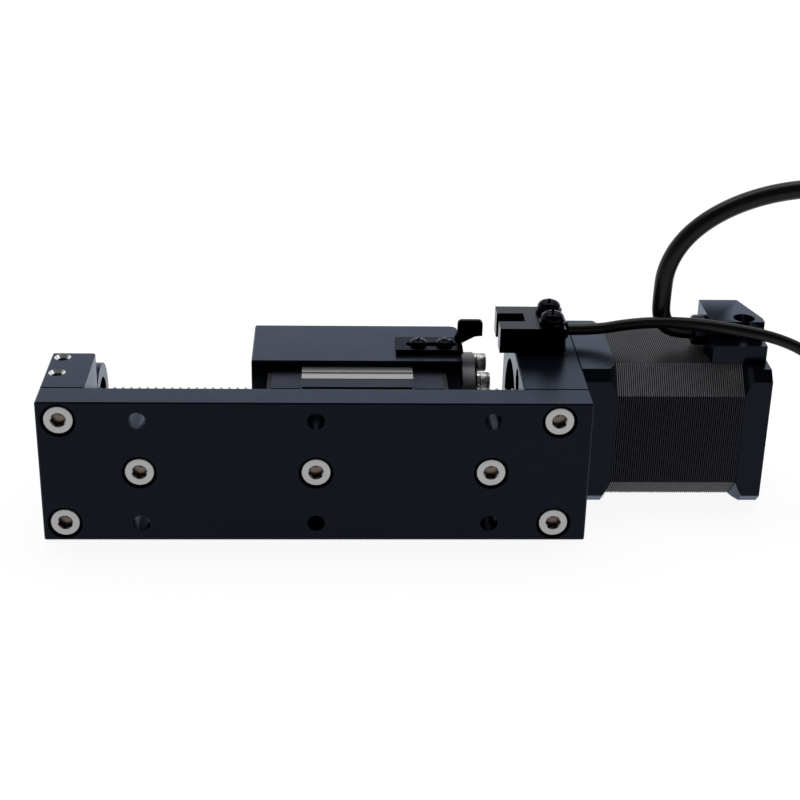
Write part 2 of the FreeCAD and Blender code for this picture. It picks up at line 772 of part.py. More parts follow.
def ball_nut():
    piece = new_body("ball_nut", "table_end", "axis_height", "axis_z")
    blank = turn(piece, "Revolution",
                 [("-nut_body_length", "nut_bore"),
                  ("nut_flange_length", "nut_bore"),
                  ("nut_flange_length", "nut_flange_radius - nut_bevel"),
                  ("nut_flange_length - nut_bevel", "nut_flange_radius"),
                  ("nut_bevel", "nut_flange_radius"),
                  ("0", "nut_flange_radius - nut_bevel"),
                  ("0", "nut_body_radius"),
                  ("nut_bevel - nut_body_length", "nut_body_radius"),
                  ("-nut_body_length", "nut_body_radius - nut_bevel")])
    piece.Tip = blank
    flats = new_sketch(piece, "YZ_Plane")
    for sign in ("", "-"):
        rectangle(flats, f"{sign}nut_flat_half", "-nut_flange_radius - 1",
                  f"{sign}(nut_flange_radius + 1)", "nut_flange_radius + 1")
    pocket(piece, flats, "nut_flange_length")
    holes = new_sketch(piece, "YZ_Plane")
    for y, z in nut_pattern("0", "0"):
        circle(holes, y, z, "nut_screw_radius + screw_clearance")
    pocket(piece, holes, "nut_flange_length")
    for start, end in (("-nut_body_length", "wiper_length - nut_body_length"),
                       ("nut_flange_length - wiper_length", "nut_flange_length")):
        ring(piece, "Groove", start, end, "nut_bore - wiper_overrun", "wiper_radius")


def nut_wipers():
    for name, start in (("left", "table_end - nut_body_length"),
                        ("right", "table_end + nut_flange_length - wiper_length")):
        piece = new_body(f"nut_wiper_{name}", start, "axis_height", "axis_z")
        ring(piece, "Revolution", "0", "wiper_length", "nut_bore", "wiper_radius - fit")


def nut_fasteners():
    washers = new_body("nut_washers")
    drawing = new_sketch(washers, "YZ_Plane", "nut_seat")
    for y, z in nut_pattern("axis_height", "axis_z"):
        circle(drawing, y, z, "nut_washer_radius")
        circle(drawing, y, z, "nut_screw_radius + fit")
    pad(washers, drawing, "nut_washer_thickness")
    headed_screws("nut_screws", "YZ_Plane", nut_pattern("axis_height", "axis_z"),
                  "nut_seat + nut_washer_thickness",
                  "nut_screw_grip + nut_flange_length + nut_washer_thickness",
                  "nut_screw_head_height", "nut_screw_radius", "nut_screw_head_radius",
                  -1, "nut_screw_hex")


def sensor_flag():
    piece = new_body("sensor_flag", "table_start + flag_offset", "flag_near", "table_side")
    foot = new_sketch(piece, "XY_Plane")
    rectangle(foot, "0", "0", "flag_length", "flag_width")
    pad(piece, foot, "flag_thickness")
    blade = new_sketch(piece, "XZ_Plane", "flag_width")
    polygon(blade, [("flag_blade_foot", "0"),
                    ("flag_length", "0"),
                    ("flag_blade_tip - flag_slope", "flag_blade_under - flag_drop"),
                    ("flag_blade_tip", "flag_blade_under"),
                    ("flag_blade_tip", "flag_blade_top"),
                    ("flag_blade_neck", "flag_blade_top"),
                    ("flag_blade_neck", "flag_blade_top / 2"),
                    ("flag_blade_foot", "flag_thickness")])
    upright = pad(piece, blade, "flag_thickness", -1)
    bevel(piece, upright, "flag_blade_corner",
          lambda p: near(p.z, "flag_blade_top")
          and (near(p.x, "flag_blade_tip") or near(p.x, "flag_blade_neck")), "Fillet")
    slot = new_sketch(piece, "XY_Plane")
    stadium(slot, "flag_slot_start + flag_slot_radius",
            "flag_slot_start + flag_slot_length - flag_slot_radius",
            "flag_slot_line", "flag_slot_radius")
    pocket(piece, slot, "flag_thickness")


def stadium(drawing, x1, x2, y, radius):
    """A slot with round ends."""
    left = FreeCAD.Vector(value(x1), value(y), 0)
    right = FreeCAD.Vector(value(x2), value(y), 0)
    up = FreeCAD.Vector(0, value(radius), 0)
    normal = FreeCAD.Vector(0, 0, 1)
    low = drawing.addGeometry(Part.LineSegment(left - up, right - up))
    end = drawing.addGeometry(Part.ArcOfCircle(Part.Circle(right, normal, up.y), -math.pi / 2, math.pi / 2))
    high = drawing.addGeometry(Part.LineSegment(right + up, left + up))
    start = drawing.addGeometry(Part.ArcOfCircle(Part.Circle(left, normal, up.y), math.pi / 2, 1.5 * math.pi))
    for first, second in ((low, end), (end, high), (high, start), (start, low)):
        drawing.addConstraint(Sketcher.Constraint("Tangent", first, 2, second, 1))
    pin(drawing, start, 3, x1, y)
    number = drawing.addConstraint(Sketcher.Constraint("DistanceX", -1, 1, end, 3, value(x2)))
    drawing.setExpression(f"Constraints[{number}]", bound(x2))
    number = drawing.addConstraint(Sketcher.Constraint("Radius", start, value(radius)))
    drawing.setExpression(f"Constraints[{number}]", bound(radius))


def flag_screws():
    spots = [(f"table_start + flag_offset + {x}", "flag_near + flag_slot_line")
             for x in ("flag_screw_first", "flag_screw_first + flag_screw_pitch")]
    headed_screws("flag_screws", "XY_Plane", spots, "table_side + flag_thickness",
                  "flag_screw_length", "flag_screw_head_height", "flag_screw_radius",
                  "flag_screw_head_radius", -1)


# Sensor on the motor support


def limit_sensor():
    piece = new_body("limit_sensor", "sensor_start", "sensor_near", "base_width")
    outline = new_sketch(piece, "XY_Plane")
    polygon(outline, [("0", "0"),
                      ("sensor_length", "0"),
                      ("sensor_length", "sensor_width"),
                      ("0", "sensor_width"),
                      ("0", "sensor_slot_near + sensor_slot_width"),
                      ("sensor_slot_depth", "sensor_slot_near + sensor_slot_width"),
                      ("sensor_slot_depth", "sensor_slot_near"),
                      ("0", "sensor_slot_near")])
    block = pad(piece, outline, "sensor_height")
    bevel(piece, block, "edge_bevel", lambda p: near(p.x, "sensor_length"))
    boss = new_sketch(piece, "YZ_Plane", "sensor_length")
    circle(boss, "sensor_width / 2", "sensor_boss_height", "sensor_boss_radius")
    pad(piece, boss, "sensor_boss_length")
    holes = new_sketch(piece, "XY_Plane")
    for y in ("sensor_screw_near - sensor_near", "sensor_screw_far - sensor_near"):
        circle(holes, "sensor_screw_inset", y, "sensor_screw_radius + screw_clearance")
    pocket(piece, holes, "sensor_height")
    window_seat = new_sketch(piece, "YZ_Plane", "sensor_slot_depth")
    window_outline(window_seat)
    pocket(piece, window_seat, "sensor_window_width")


def window_outline(drawing):
    middle = "sensor_slot_near + sensor_slot_width / 2"
    rectangle(drawing, f"{middle} - sensor_window_size", "sensor_boss_height - sensor_window_size",
              f"{middle} + sensor_window_size", "sensor_boss_height + sensor_window_size")


def sensor_window():
    """Red lens that the beam shines through, flush with the end of the slot."""
    piece = new_body("sensor_window", "sensor_start", "sensor_near", "base_width")
    lens = new_sketch(piece, "YZ_Plane", "sensor_slot_depth")
    window_outline(lens)
    pad(piece, lens, "sensor_window_width")


def sensor_fasteners():
    spots = [("sensor_screw_x", y) for y in ("sensor_screw_near", "sensor_screw_far")]
    washers = new_body("sensor_washers")
    drawing = new_sketch(washers, "XY_Plane", "base_width + sensor_height")
    for x, y in spots:
        circle(drawing, x, y, "sensor_washer_radius")
        circle(drawing, x, y, "sensor_screw_radius + fit")
    pad(washers, drawing, "sensor_washer_thickness")
    headed_screws("sensor_screws", "XY_Plane", spots,
                  "base_width + sensor_height + sensor_washer_thickness", "sensor_screw_length",
                  "sensor_screw_head_height", "sensor_screw_radius", "sensor_screw_head_radius", -1)


# Ball screw and its bearings


def ball_screw():
    """Stepped shaft: idle journal, rolled thread, front journal, rotor seat, rear journal."""
    piece = new_body("ball_screw", "0", "axis_height", "axis_z")
    groove_end = "idle_bearing_start - circlip_gap"
    groove_start = f"{groove_end} - circlip_width"
    groove_floor = "idle_bearing_bore - circlip_groove_depth"
    idle_shoulder = "idle_bearing_start + idle_bearing_width"
    turn(piece, "Revolution",
         [("screw_tip", "0"),
          ("screw_tip", "idle_bearing_bore - screw_chamfer"),
          ("screw_tip + screw_chamfer", "idle_bearing_bore"),
          (f"{groove_start} - fit", "idle_bearing_bore"),
          (f"{groove_start} - fit", groove_floor),
          (f"{groove_end} + fit", groove_floor),
          (f"{groove_end} + fit", "idle_bearing_bore"),
          (idle_shoulder, "idle_bearing_bore"),
          (idle_shoulder, "screw_radius - screw_chamfer"),
          (f"{idle_shoulder} + screw_chamfer", "screw_radius"),
          ("front_bearing_start - screw_chamfer", "screw_radius"),
          ("front_bearing_start", "screw_radius - screw_chamfer"),
          ("front_bearing_start", "front_bearing_bore"),
          ("front_bearing_end + lock_nut_length", "front_bearing_bore"),
          ("front_bearing_end + lock_nut_length", "rotor_shaft_radius"),
          ("rotor_end + rotor_runout", "rotor_shaft_radius"),
          ("rotor_end + rotor_runout", "rear_bearing_bore"),
          ("rear_bearing_end - journal_relief", "rear_bearing_bore"),
          ("rear_bearing_end - journal_relief", "0")])


def bearing(name, start):
    """Outer ring, inner ring and a circle of balls between them."""
    bore = f"{name}_bearing_bore"
    outside = f"{name}_bearing_outside"
    width = f"{name}_bearing_width"
    wall = f"({outside} - {bore}) * ring_share"
    groove = f"({outside} - {bore}) * raceway_share"
    outer_wall = f"{outside} - {wall}"
    inner_wall = f"{bore} + {wall}"
    outer = new_body(f"{name}_bearing_outer", start, "axis_height", "axis_z")
    turn(outer, "Revolution",
         [("0", outside), ("0", outer_wall),
          (f"{width} * (1 - raceway_mouth) / 2", outer_wall),
          (f"{width} * (1 - raceway_floor) / 2", f"{outer_wall} + {groove}"),
          (f"{width} * (1 + raceway_floor) / 2", f"{outer_wall} + {groove}"),
          (f"{width} * (1 + raceway_mouth) / 2", outer_wall),
          (width, outer_wall), (width, outside)])
    inner = new_body(f"{name}_bearing_inner", start, "axis_height", "axis_z")
    turn(inner, "Revolution",
         [("0", f"{bore} + fit"), (width, f"{bore} + fit"), (width, inner_wall),
          (f"{width} * (1 + raceway_mouth) / 2", inner_wall),
          (f"{width} * (1 + raceway_floor) / 2", f"{inner_wall} - {groove}"),
          (f"{width} * (1 - raceway_floor) / 2", f"{inner_wall} - {groove}"),
          (f"{width} * (1 - raceway_mouth) / 2", inner_wall),
          ("0", inner_wall)])
    balls = doc.addObject("Part::Compound", f"{name}_bearing_balls")
    balls.Links = [bearing_ball(name, start, turn_index) for turn_index in range(BALLS)]


BALLS = 7


def bearing_ball(name, start, turn_index):
    ball = doc.addObject("Part::Sphere", f"{name}_ball")
    gap = f"({name}_bearing_outside - {name}_bearing_bore) * (1 - 2 * ring_share)"
    middle = f"({name}_bearing_outside + {name}_bearing_bore) / 2"
    angle = 360 / BALLS * turn_index
    ball.setExpression("Radius", bound(f"{gap} * ball_share"))
    place(ball, f"{start} + {name}_bearing_width / 2",
          f"axis_height + {middle} * cos({angle})", f"axis_z + {middle} * sin({angle})")
    return ball


def bearings():
    bearing("idle", "idle_bearing_start")
    bearing("front", "front_bearing_start")
    bearing("rear", "rear_bearing_start")


def screw_retainers():
    circlip = new_body("idle_circlip", "idle_bearing_start - circlip_gap - circlip_width",
                       "axis_height", "axis_z")
    clip = ring(circlip, "Revolution", "0", "circlip_width",
                "idle_bearing_bore - circlip_groove_depth + fit", "circlip_radius")
    circlip.Tip = clip
    mouth = new_sketch(circlip, "YZ_Plane")
    rectangle(mouth, "-circlip_mouth", "0", "circlip_mouth", "circlip_radius + 1")
    pocket(circlip, mouth, "circlip_width")
    nut = new_body("bearing_lock_nut", "front_bearing_end", "axis_height", "axis_z")
    ring(nut, "Revolution", "0", "lock_nut_length", "front_bearing_bore + fit", "lock_nut_radius")
    notches = new_sketch(nut, "YZ_Plane", "lock_nut_length")
    for sign in ("", "-"):
        rectangle(notches, "-lock_nut_notch", f"{sign}(lock_nut_radius - lock_nut_notch)",
                  "lock_nut_notch", f"{sign}(lock_nut_radius + lock_nut_notch)")
    pocket(nut, notches, "lock_nut_length / 2", -1)


# Motor


def cut_square(drawing, half, corner):
    """A square with its corners cut off, about the motor's axis."""
    short = f"{half} - ({corner})"
    polygon(drawing, [(short, half), (half, short), (half, f"-({short})"), (short, f"-({half})"),
                      (f"-({short})", f"-({half})"), (f"-({half})", f"-({short})"),
                      (f"-({half})", short), (f"-({short})", half)])


def flared_cap(piece, length, toward):
    """A die-cast end cap whose corners flare down to the laminated stack."""
    plate = new_sketch(piece, "YZ_Plane", f"{toward} * flare_length")
    cut_square(plate, "motor_side / 2", "cap_corner")
    pad(piece, plate, f"{length} - flare_length", toward)
    steps = (("1", "0"), ("0.45", "0.45"), ("0.15", "0.8"), ("0", "1"))
    sections = []
    for reach, share in steps:
        section = new_sketch(piece, "YZ_Plane", f"{toward} * flare_length * {reach}")
        cut_square(section, "motor_side / 2", f"cap_corner + (stack_corner - cap_corner) * {share}")
        sections.append(section)
    flare = piece.newObject("PartDesign::AdditiveLoft", piece.Label + "_flare")
    flare.Profile = sections[0]
    flare.Sections = sections[1:]
    flare.Ruled = True
    piece.Tip = flare


def motor_front_cap():
    piece = new_body("motor_front_cap", "stack_start", "axis_height", "axis_z")
    flared_cap(piece, "front_cap_length", -1)
    pilot = new_sketch(piece, "YZ_Plane", "-front_cap_length")
    circle(pilot, "0", "0", "pilot_radius")
    pad(piece, pilot, "pilot_length", -1)
    bore = new_sketch(piece, "YZ_Plane")
    circle(bore, "0", "0", "front_cap_bore")
    pocket(piece, bore, "front_cap_length + pilot_length", -1)
    room = new_sketch(piece, "YZ_Plane")
    circle(room, "0", "0", "coil_room_radius")
    pocket(piece, room, "front_coil_room", -1)
    holes = new_sketch(piece, "YZ_Plane")
    for y, z in motor_corners("0", "0"):
        circle(holes, y, z, "motor_bolt_radius + fit")
    pocket(piece, holes, "front_cap_length", -1)


def motor_rear_cap():
    piece = new_body("motor_rear_cap", "rear_cap_start", "axis_height", "axis_z")
    flared_cap(piece, "rear_cap_length", 1)
    room = new_sketch(piece, "YZ_Plane")
    circle(room, "0", "0", "coil_room_radius")
    circle(room, "0", "0", "bearing_boss_radius")
    pocket(piece, room, "rear_coil_room")
    seat = new_sketch(piece, "YZ_Plane")
    circle(seat, "0", "0", "rear_bearing_outside + fit")
    pocket(piece, seat, "rear_bearing_seat")
    sinks = new_sketch(piece, "YZ_Plane", "rear_cap_length")
    holes = new_sketch(piece, "YZ_Plane", "rear_cap_length")
    for y, z in motor_corners("0", "0"):
        circle(sinks, y, z, "motor_bolt_head_radius + sink_clearance")
        circle(holes, y, z, "motor_bolt_radius + fit")
    pocket(piece, sinks, "motor_bolt_head_height", -1)
    pocket(piece, holes, "rear_cap_length", -1)


def motor_stator():
    """Laminated stack: a cut square outside, eight poles inside."""
    piece = new_body("motor_stator", "stack_start", "axis_height", "axis_z")
    outline = new_sketch(piece, "YZ_Plane")
    cut_square(outline, "stack_half", "stack_corner")
    pad(piece, outline, "stack_length")
    hollow = new_sketch(piece, "YZ_Plane")
    circle(hollow, "0", "0", "coil_room_radius")
    pocket(piece, hollow, "stack_length")
    bolts = new_sketch(piece, "YZ_Plane")
    for y, z in motor_corners("0", "0"):
        circle(bolts, y, z, "motor_bolt_radius + fit")
    pocket(piece, bolts, "stack_length")
    pole = new_sketch(piece, "YZ_Plane")
    root = "coil_room_radius + pole_root_overlap"
    tip_end = "pole_radius + pole_tip"
    polygon(pole, [(root, "pole_half"), (tip_end, "pole_half"), (tip_end, "pole_tip_half"),
                   ("pole_radius", "pole_tip_half"), ("pole_radius", "-pole_tip_half"),
                   (tip_end, "-pole_tip_half"), (tip_end, "-pole_half"), (root, "-pole_half")])
    around(piece, pad(piece, pole, "stack_length"), "X_Axis", POLES)


POLES = 8


def stator_windings():
    piece = new_body("stator_windings", "stack_start", "axis_height", "axis_z")
    coil = new_sketch(piece, "XZ_Plane", "coil_low")
    rectangle(coil, "-coil_overhang", "-coil_outer", "stack_length + coil_overhang", "coil_outer")
    rectangle(coil, "-coil_clearance", "-coil_inner", "stack_length + coil_clearance", "coil_inner")
    around(piece, pad(piece, coil, "coil_height"), "X_Axis", POLES)


def motor_bolts():
    headed_screws("motor_through_bolts", "YZ_Plane", motor_corners(),
                  "motor_end - motor_bolt_head_height",
                  "motor_end - motor_bolt_head_height - motor_bolt_tip", "motor_bolt_head_height",
                  "motor_bolt_radius", "motor_bolt_head_radius", -1)
    headed_screws("motor_screws", "YZ_Plane", motor_corners(), "motor_screw_seat",
                  "motor_screw_length", "motor_screw_head_height", "motor_bolt_radius",
                  "motor_bolt_head_radius", 1, "motor_screw_hex")


TEETH = 50


def rotor():
    """Two toothed cups, half a tooth apart, with the magnet between them."""
    for name, start, twist in (("front", "rotor_start", 0), ("rear", "rotor_end - rotor_cup_length", 0.5)):
        piece = new_body(f"rotor_cup_{name}", start, "axis_height", "axis_z")
        cup = ring(piece, "Revolution", "0", "rotor_cup_length", "rotor_shaft_radius + fit",
                   "rotor_radius")
        piece.Tip = cup
        gap = new_sketch(piece, "YZ_Plane")
        half_gap = f"rotor_radius * sin({90 / TEETH})"
        rectangle(gap, "rotor_radius - rotor_tooth_depth", f"-{half_gap}",
                  "rotor_radius + rotor_tooth_depth", half_gap)
        around(piece, pocket(piece, gap, "rotor_cup_length"), "X_Axis", TEETH)
        along = FreeCAD.Vector(1, 0, 0)
        piece.Placement = FreeCAD.Placement(FreeCAD.Vector(), FreeCAD.Rotation(along, twist * 360 / TEETH))
        place(piece, start, "axis_height", "axis_z")
    magnet = new_body("rotor_magnet", "rotor_start + rotor_cup_length", "axis_height", "axis_z")
    ring(magnet, "Revolution", "0", "magnet_length", "rotor_shaft_radius + fit", "magnet_radius")


def wave_spring():
    piece = new_body("wave_spring", "rear_bearing_end + fit / 2", "axis_height", "axis_z")
    ring(piece, "Revolution", "0", "spring_thickness", "rear_bearing_outside - spring_width",
         "rear_bearing_outside - fit")


def cable_outlet():
    """Moulded block that leads the motor cable out sideways, with its gland and screw."""
    piece = new_body("cable_block", "outlet_start", "0", "motor_high")
    step = new_sketch(piece, "XY_Plane")
    rectangle(step, "0", "outlet_near", "outlet_length", "outlet_far")
    pad(piece, step, "outlet_step_height")
    hood = new_sketch(piece, "XY_Plane")
    polygon(hood, [("0", "outlet_step_near"),
                   ("outlet_length", "outlet_step_near"),
                   ("outlet_length", "outlet_taper_near"),
                   ("outlet_length - outlet_taper", "outlet_far"),
                   ("0", "outlet_far")])
    pad(piece, hood, "outlet_top_height")
    sink = new_sketch(piece, "XY_Plane", "outlet_top_height")
    circle(sink, "outlet_screw_x", "outlet_near + outlet_screw_y", "outlet_sink_radius")
    pocket(piece, sink, "outlet_top_height - outlet_floor", -1)
    through = new_sketch(piece, "XY_Plane", "outlet_top_height")
    circle(through, "outlet_screw_x", "outlet_near + outlet_screw_y", "outlet_screw_radius + fit")
    pocket(piece, through, "outlet_top_height", -1)
    headed_screws("cable_block_screw", "XY_Plane",
                  [("outlet_start + outlet_screw_x", "outlet_near + outlet_screw_y")],
                  "motor_high + outlet_floor", "outlet_floor - fit", "outlet_screw_head_height",
                  "outlet_screw_radius", "outlet_screw_head_radius", -1)
    gland = new_body("cable_gland", "outlet_start", "gland_line", "motor_high + gland_height")
    turn(gland, "Revolution",
         [("-gland_length", "0"), ("-gland_length", "gland_radius - gland_bevel"),
          ("gland_bevel - gland_length", "gland_radius"), ("0", "gland_radius"), ("0", "0")])


# Cables: straight runs joined by tangent arcs


def from_corner(x, y, z):
    """A point measured from the plate's corner, in the frame's own coordinates."""
    return FreeCAD.Vector(x - value("origin_x"), y - value("origin_y"), z)


def bent_path(points, label):
    """Straight runs through the points, each bend as large as its two runs allow."""
    edges = []
    start = points[0]
    for before, corner, after in zip(points, points[1:], points[2:]):
        arrive = (corner - before).normalize()
        leave = (after - corner).normalize()
        half = arrive.getAngle(leave) / 2
        shorter = min((corner - before).Length, (after - corner).Length)
        cut = 0.45 * shorter
        radius = cut / math.tan(half)
        print(f"{label}: run {shorter:.1f}, turn {math.degrees(2 * half):.0f}, radius {radius:.1f}")
        first = corner - arrive * cut
        last = corner + leave * cut
        inward = (leave - arrive).normalize()
        middle = corner + inward * (radius / math.cos(half) - radius)
        edges.append(Part.LineSegment(start, first).toShape())
        edges.append(Part.Arc(first, middle, last).toShape())
        start = last
    edges.append(Part.LineSegment(start, points[-1]).toShape())
    return Part.Wire(edges)


def free_cable(label, points, radius):
    path = bent_path(points, label)
    section = Part.Circle(points[0], points[1] - points[0], radius)
    tube = path.makePipeShell([Part.Wire([section.toShape()])], True, False, 2)
    expected = math.pi * radius ** 2 * path.Length
    print(f"{label}: length {path.Length:.1f}, volume over section times length "
          f"{tube.Volume / expected:.4f}")
    feature = doc.addObject("Part::Feature", label)
    feature.Shape = tube if tube.ShapeType == "Solid" else tube.Solids[0]
    return feature


MOTOR_COIL_TURNS = (2, 1)
SENSOR_COIL_TURNS = (3, 3)


def cable_coil(label, route, radius, wire, turns, tail):
    """Closed ring that a coiled cable fills, with a lead onto it and a tail off it along X.

    turns is how many lie side by side and in layers; tail is where it starts and ends along X
    and how far it lies off the middle.
    """
    across, layers = turns
    tail_from, tail_to, tail_side = tail
    outside = radius + across * wire
    lead_length = math.sqrt(outside ** 2 - (radius - wire) ** 2) + value("coil_lead")
    middle = route[-1] + FreeCAD.Vector(lead_length, -radius, 0)
    floor_middle = FreeCAD.Vector(middle.x, middle.y, 0)
    height = 2 * wire * layers
    hoop = Part.makeCylinder(outside, height, floor_middle)
    hoop = hoop.cut(Part.makeCylinder(radius - across * wire, height, floor_middle))
    forward = FreeCAD.Vector(1, 0, 0)
    lead = Part.makeCylinder(wire, lead_length, route[-1], forward)
    low_end = middle + FreeCAD.Vector(min(tail_from, tail_to), tail_side, 0)
    run = Part.makeCylinder(wire, abs(tail_to - tail_from), low_end, forward)
    feature = doc.addObject("Part::Feature", label)
    feature.Shape = hoop.fuse([lead, run]).removeSplitter().Solids[0]
    return middle + FreeCAD.Vector(tail_to, tail_side, 0)


def cable_plug(label, back, name, onward):
    """Plain connector housing along X whose back meets the end of the cable."""
    piece = doc.addObject("Part::Box", label)
    for side, size in (("Length", "length"), ("Width", "width"), ("Height", "height")):
        piece.setExpression(side, bound(f"{name}_plug_{size}"))
    start = back.x if onward else back.x - value(f"{name}_plug_length")
    piece.Placement.Base = FreeCAD.Vector(start, back.y - value(f"{name}_plug_width") / 2, 0)


def motor_cable():
    """Leaves the gland towards the idle end, loops over the motor and is coiled beyond it."""
    wire = value("motor_cable_radius")
    lying = wire + value("cable_lift")
    exit_x = value("outlet_start - gland_length")
    exit_y = value("gland_line")
    exit_z = value("motor_high + gland_height")
    route = [(exit_x, exit_y, exit_z),
             (exit_x - 4.6, exit_y, exit_z),
             (exit_x - 7.6, exit_y, exit_z + 3.1),
             (145.5, 35.0, 48.2),
             (145.8, 35.0, 54.6),
             (148.9, 35.0, 61.4),
             (154.6, 35.1, 67.0),
             (162.5, 35.3, 71.3),
             (172.0, 35.6, 74.0),
             (183.5, 36.3, 74.9),
             (194.0, 38.0, 72.4),
             (202.5, 40.4, 66.0),
             (208.5, 43.2, 57.0),
             (212.3, 46.0, 47.0),
             (215.2, 48.6, 36.8),
             (218.2, 50.9, 26.8),
             (222.6, 52.8, 17.4),
             (229.3, 54.2, 9.4),
             (238.2, 54.9, 4.2),
             (248.0, 55.0, lying),
             (253.0, 55.0, lying)]
    points = [from_corner(*spot) for spot in route]
    free_cable("motor_cable", points, wire)
    radius = value("motor_coil_radius")
    back = -value("motor_plug_length") / 2
    tail = (-radius, back, value("motor_plug_side"))
    tail_end = cable_coil("motor_cable_coil", points, radius, wire, MOTOR_COIL_TURNS, tail)
    cable_plug("motor_cable_plug", tail_end, "motor", True)


def sensor_cable():
    """Leaves the sensor along the screw, crosses in front of the motor's outlet and falls."""
    wire = value("sensor_cable_radius")
    lying = wire + value("cable_lift")
    exit_x = value("sensor_start + sensor_length + sensor_boss_length")
    exit_y = value("sensor_near + sensor_width / 2")
    exit_z = value("base_width + sensor_boss_height")
    route = [(exit_x, exit_y, exit_z),
             (exit_x + 7.0, exit_y, exit_z),
             (137.3, 34.2, 40.5),
             (144.0, 30.8, 42.5),
             (150.2, 27.0, 43.9),
             (156.3, 23.6, 44.5),
             (163.0, 21.2, 44.2),
             (170.4, 20.2, 42.9),
             (178.0, 20.0, 39.6),
             (184.0, 20.4, 33.8),
             (187.8, 21.2, 26.6),
             (190.6, 22.3, 19.2),
             (193.4, 23.6, 12.4),
             (197.4, 25.0, 7.0),
             (203.0, 26.2, 3.4),
             (209.3, 27.0, lying),
             (213.0, 27.0, lying)]
    points = [from_corner(*spot) for spot in route]
    free_cable("sensor_cable", points, wire)
    radius = value("sensor_coil_radius")
    back = -(radius + SENSOR_COIL_TURNS[0] * wire + value("coil_lead"))
    tail_end = cable_coil("sensor_cable_coil", points, radius, wire, SENSOR_COIL_TURNS, (0, back, -radius))
    cable_plug("sensor_cable_plug", tail_end, "sensor", False)


base_plate()
plate_screws()
idle_support()
motor_support()
guide_rail()
guide_block()
guide_ends()
carriage_table()
table_screws()
ball_nut()
nut_wipers()
nut_fasteners()
sensor_flag()
flag_screws()
limit_sensor()
sensor_window()
sensor_fasteners()
ball_screw()
bearings()
screw_retainers()
motor_front_cap()
motor_rear_cap()
motor_stator()
stator_windings()
motor_bolts()
rotor()
wave_spring()
cable_outlet()
motor_cable()
sensor_cable()
doc.recompute()

faults = [o.Label for o in doc.Objects if "Invalid" in o.State or "Error" in o.State]
for feature in doc.Objects:
    cuts = feature.TypeId in ("PartDesign::Pocket", "PartDesign::Groove")
    if cuts and feature.Shape.Volume > feature.BaseFeature.Shape.Volume - 1e-4:
        faults.append(feature.Label + " cuts nothing")
pieces = [o for o in doc.Objects
          if o.TypeId in ("PartDesign::Body", "Part::Compound", "Part::Feature", "Part::Box")]
for piece in pieces:
    if piece.Shape.isNull() or not piece.Shape.isValid() or not piece.Shape.Solids:
        faults.append(piece.Label + " has no sound shape")
if faults:
    raise RuntimeError("these failed: " + ", ".join(faults))

os.makedirs("parts", exist_ok=True)
for piece in pieces:
    piece.Shape.exportStep(f"parts/{piece.Label}.step")
print(len(pieces), "nodes,", sum(len(p.Shape.Solids) for p in pieces), "solids")
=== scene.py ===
import math

import bmesh
import bpy
from mathutils import Matrix, Vector
from mathutils.geometry import tessellate_polygon


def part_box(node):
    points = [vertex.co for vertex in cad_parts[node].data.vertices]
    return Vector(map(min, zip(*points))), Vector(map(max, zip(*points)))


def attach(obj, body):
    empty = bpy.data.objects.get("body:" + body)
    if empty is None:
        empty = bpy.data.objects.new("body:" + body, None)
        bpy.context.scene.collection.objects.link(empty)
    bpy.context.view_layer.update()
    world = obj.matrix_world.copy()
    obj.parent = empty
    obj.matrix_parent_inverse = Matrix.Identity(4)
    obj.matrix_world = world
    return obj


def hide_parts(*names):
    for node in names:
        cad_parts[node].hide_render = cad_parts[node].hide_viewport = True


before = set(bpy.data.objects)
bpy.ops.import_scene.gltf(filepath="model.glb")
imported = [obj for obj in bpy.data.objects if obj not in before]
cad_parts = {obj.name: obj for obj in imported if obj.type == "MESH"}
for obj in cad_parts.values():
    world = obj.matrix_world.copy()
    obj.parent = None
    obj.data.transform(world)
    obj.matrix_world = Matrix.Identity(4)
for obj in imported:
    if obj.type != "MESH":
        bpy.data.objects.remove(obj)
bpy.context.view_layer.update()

# Lengths are in millimetres from the base plate's lower corner at the idle end, as in the source:
# X along the screw to the motor, Y from the mounting face to the table, Z up.
MM = 0.001
PLATE_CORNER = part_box("base_plate")[0]
TO_FRAME = Matrix.Translation(PLATE_CORNER) @ Matrix.Scale(MM, 4)
FULL_TURN = 2 * math.pi


def at(x, y, z):
    return TO_FRAME @ Vector((x, y, z))


def span(node):
    """Lowest and highest corner of a CAD node, in millimetres from the plate's corner."""
    back = TO_FRAME.inverted()
    low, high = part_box(node)
    return back @ low, back @ high


# Sizes and places of the source that the pieces below share
AXIS_Y = 35.0
AXIS_Z = 17.5
AROUND = 96

# Camera

CAMERA_SPOT = (65.89, -334.51, 190.48)
CAMERA_RIGHT = Vector((0.99913, -0.0363, 0.02064))
CAMERA_UP = Vector((-0.00351, 0.41961, 0.9077))
CAMERA_LENS = 74.32


def make_camera():
    data = bpy.data.cameras.new("camera")
    data.lens = CAMERA_LENS
    data.sensor_width = 36
    data.clip_start = 0.01
    camera = bpy.data.objects.new("camera", data)
    bpy.context.scene.collection.objects.link(camera)
    turn = Matrix((CAMERA_RIGHT, CAMERA_UP, CAMERA_RIGHT.cross(CAMERA_UP))).transposed()
    camera.matrix_world = Matrix.Translation(at(*CAMERA_SPOT)) @ turn.to_4x4()
    bpy.context.scene.camera = camera


make_camera()

# Shader building blocks


def new_group(name, sockets):
    group = bpy.data.node_groups.new(name, "ShaderNodeTree")
    for label, direction, kind in sockets:
        group.interface.new_socket(name=label, in_out=direction, socket_type=kind)
    return group, group.nodes.new("NodeGroupInput"), group.nodes.new("NodeGroupOutput")


def wire(tree, start, end):
    tree.links.new(start, end)


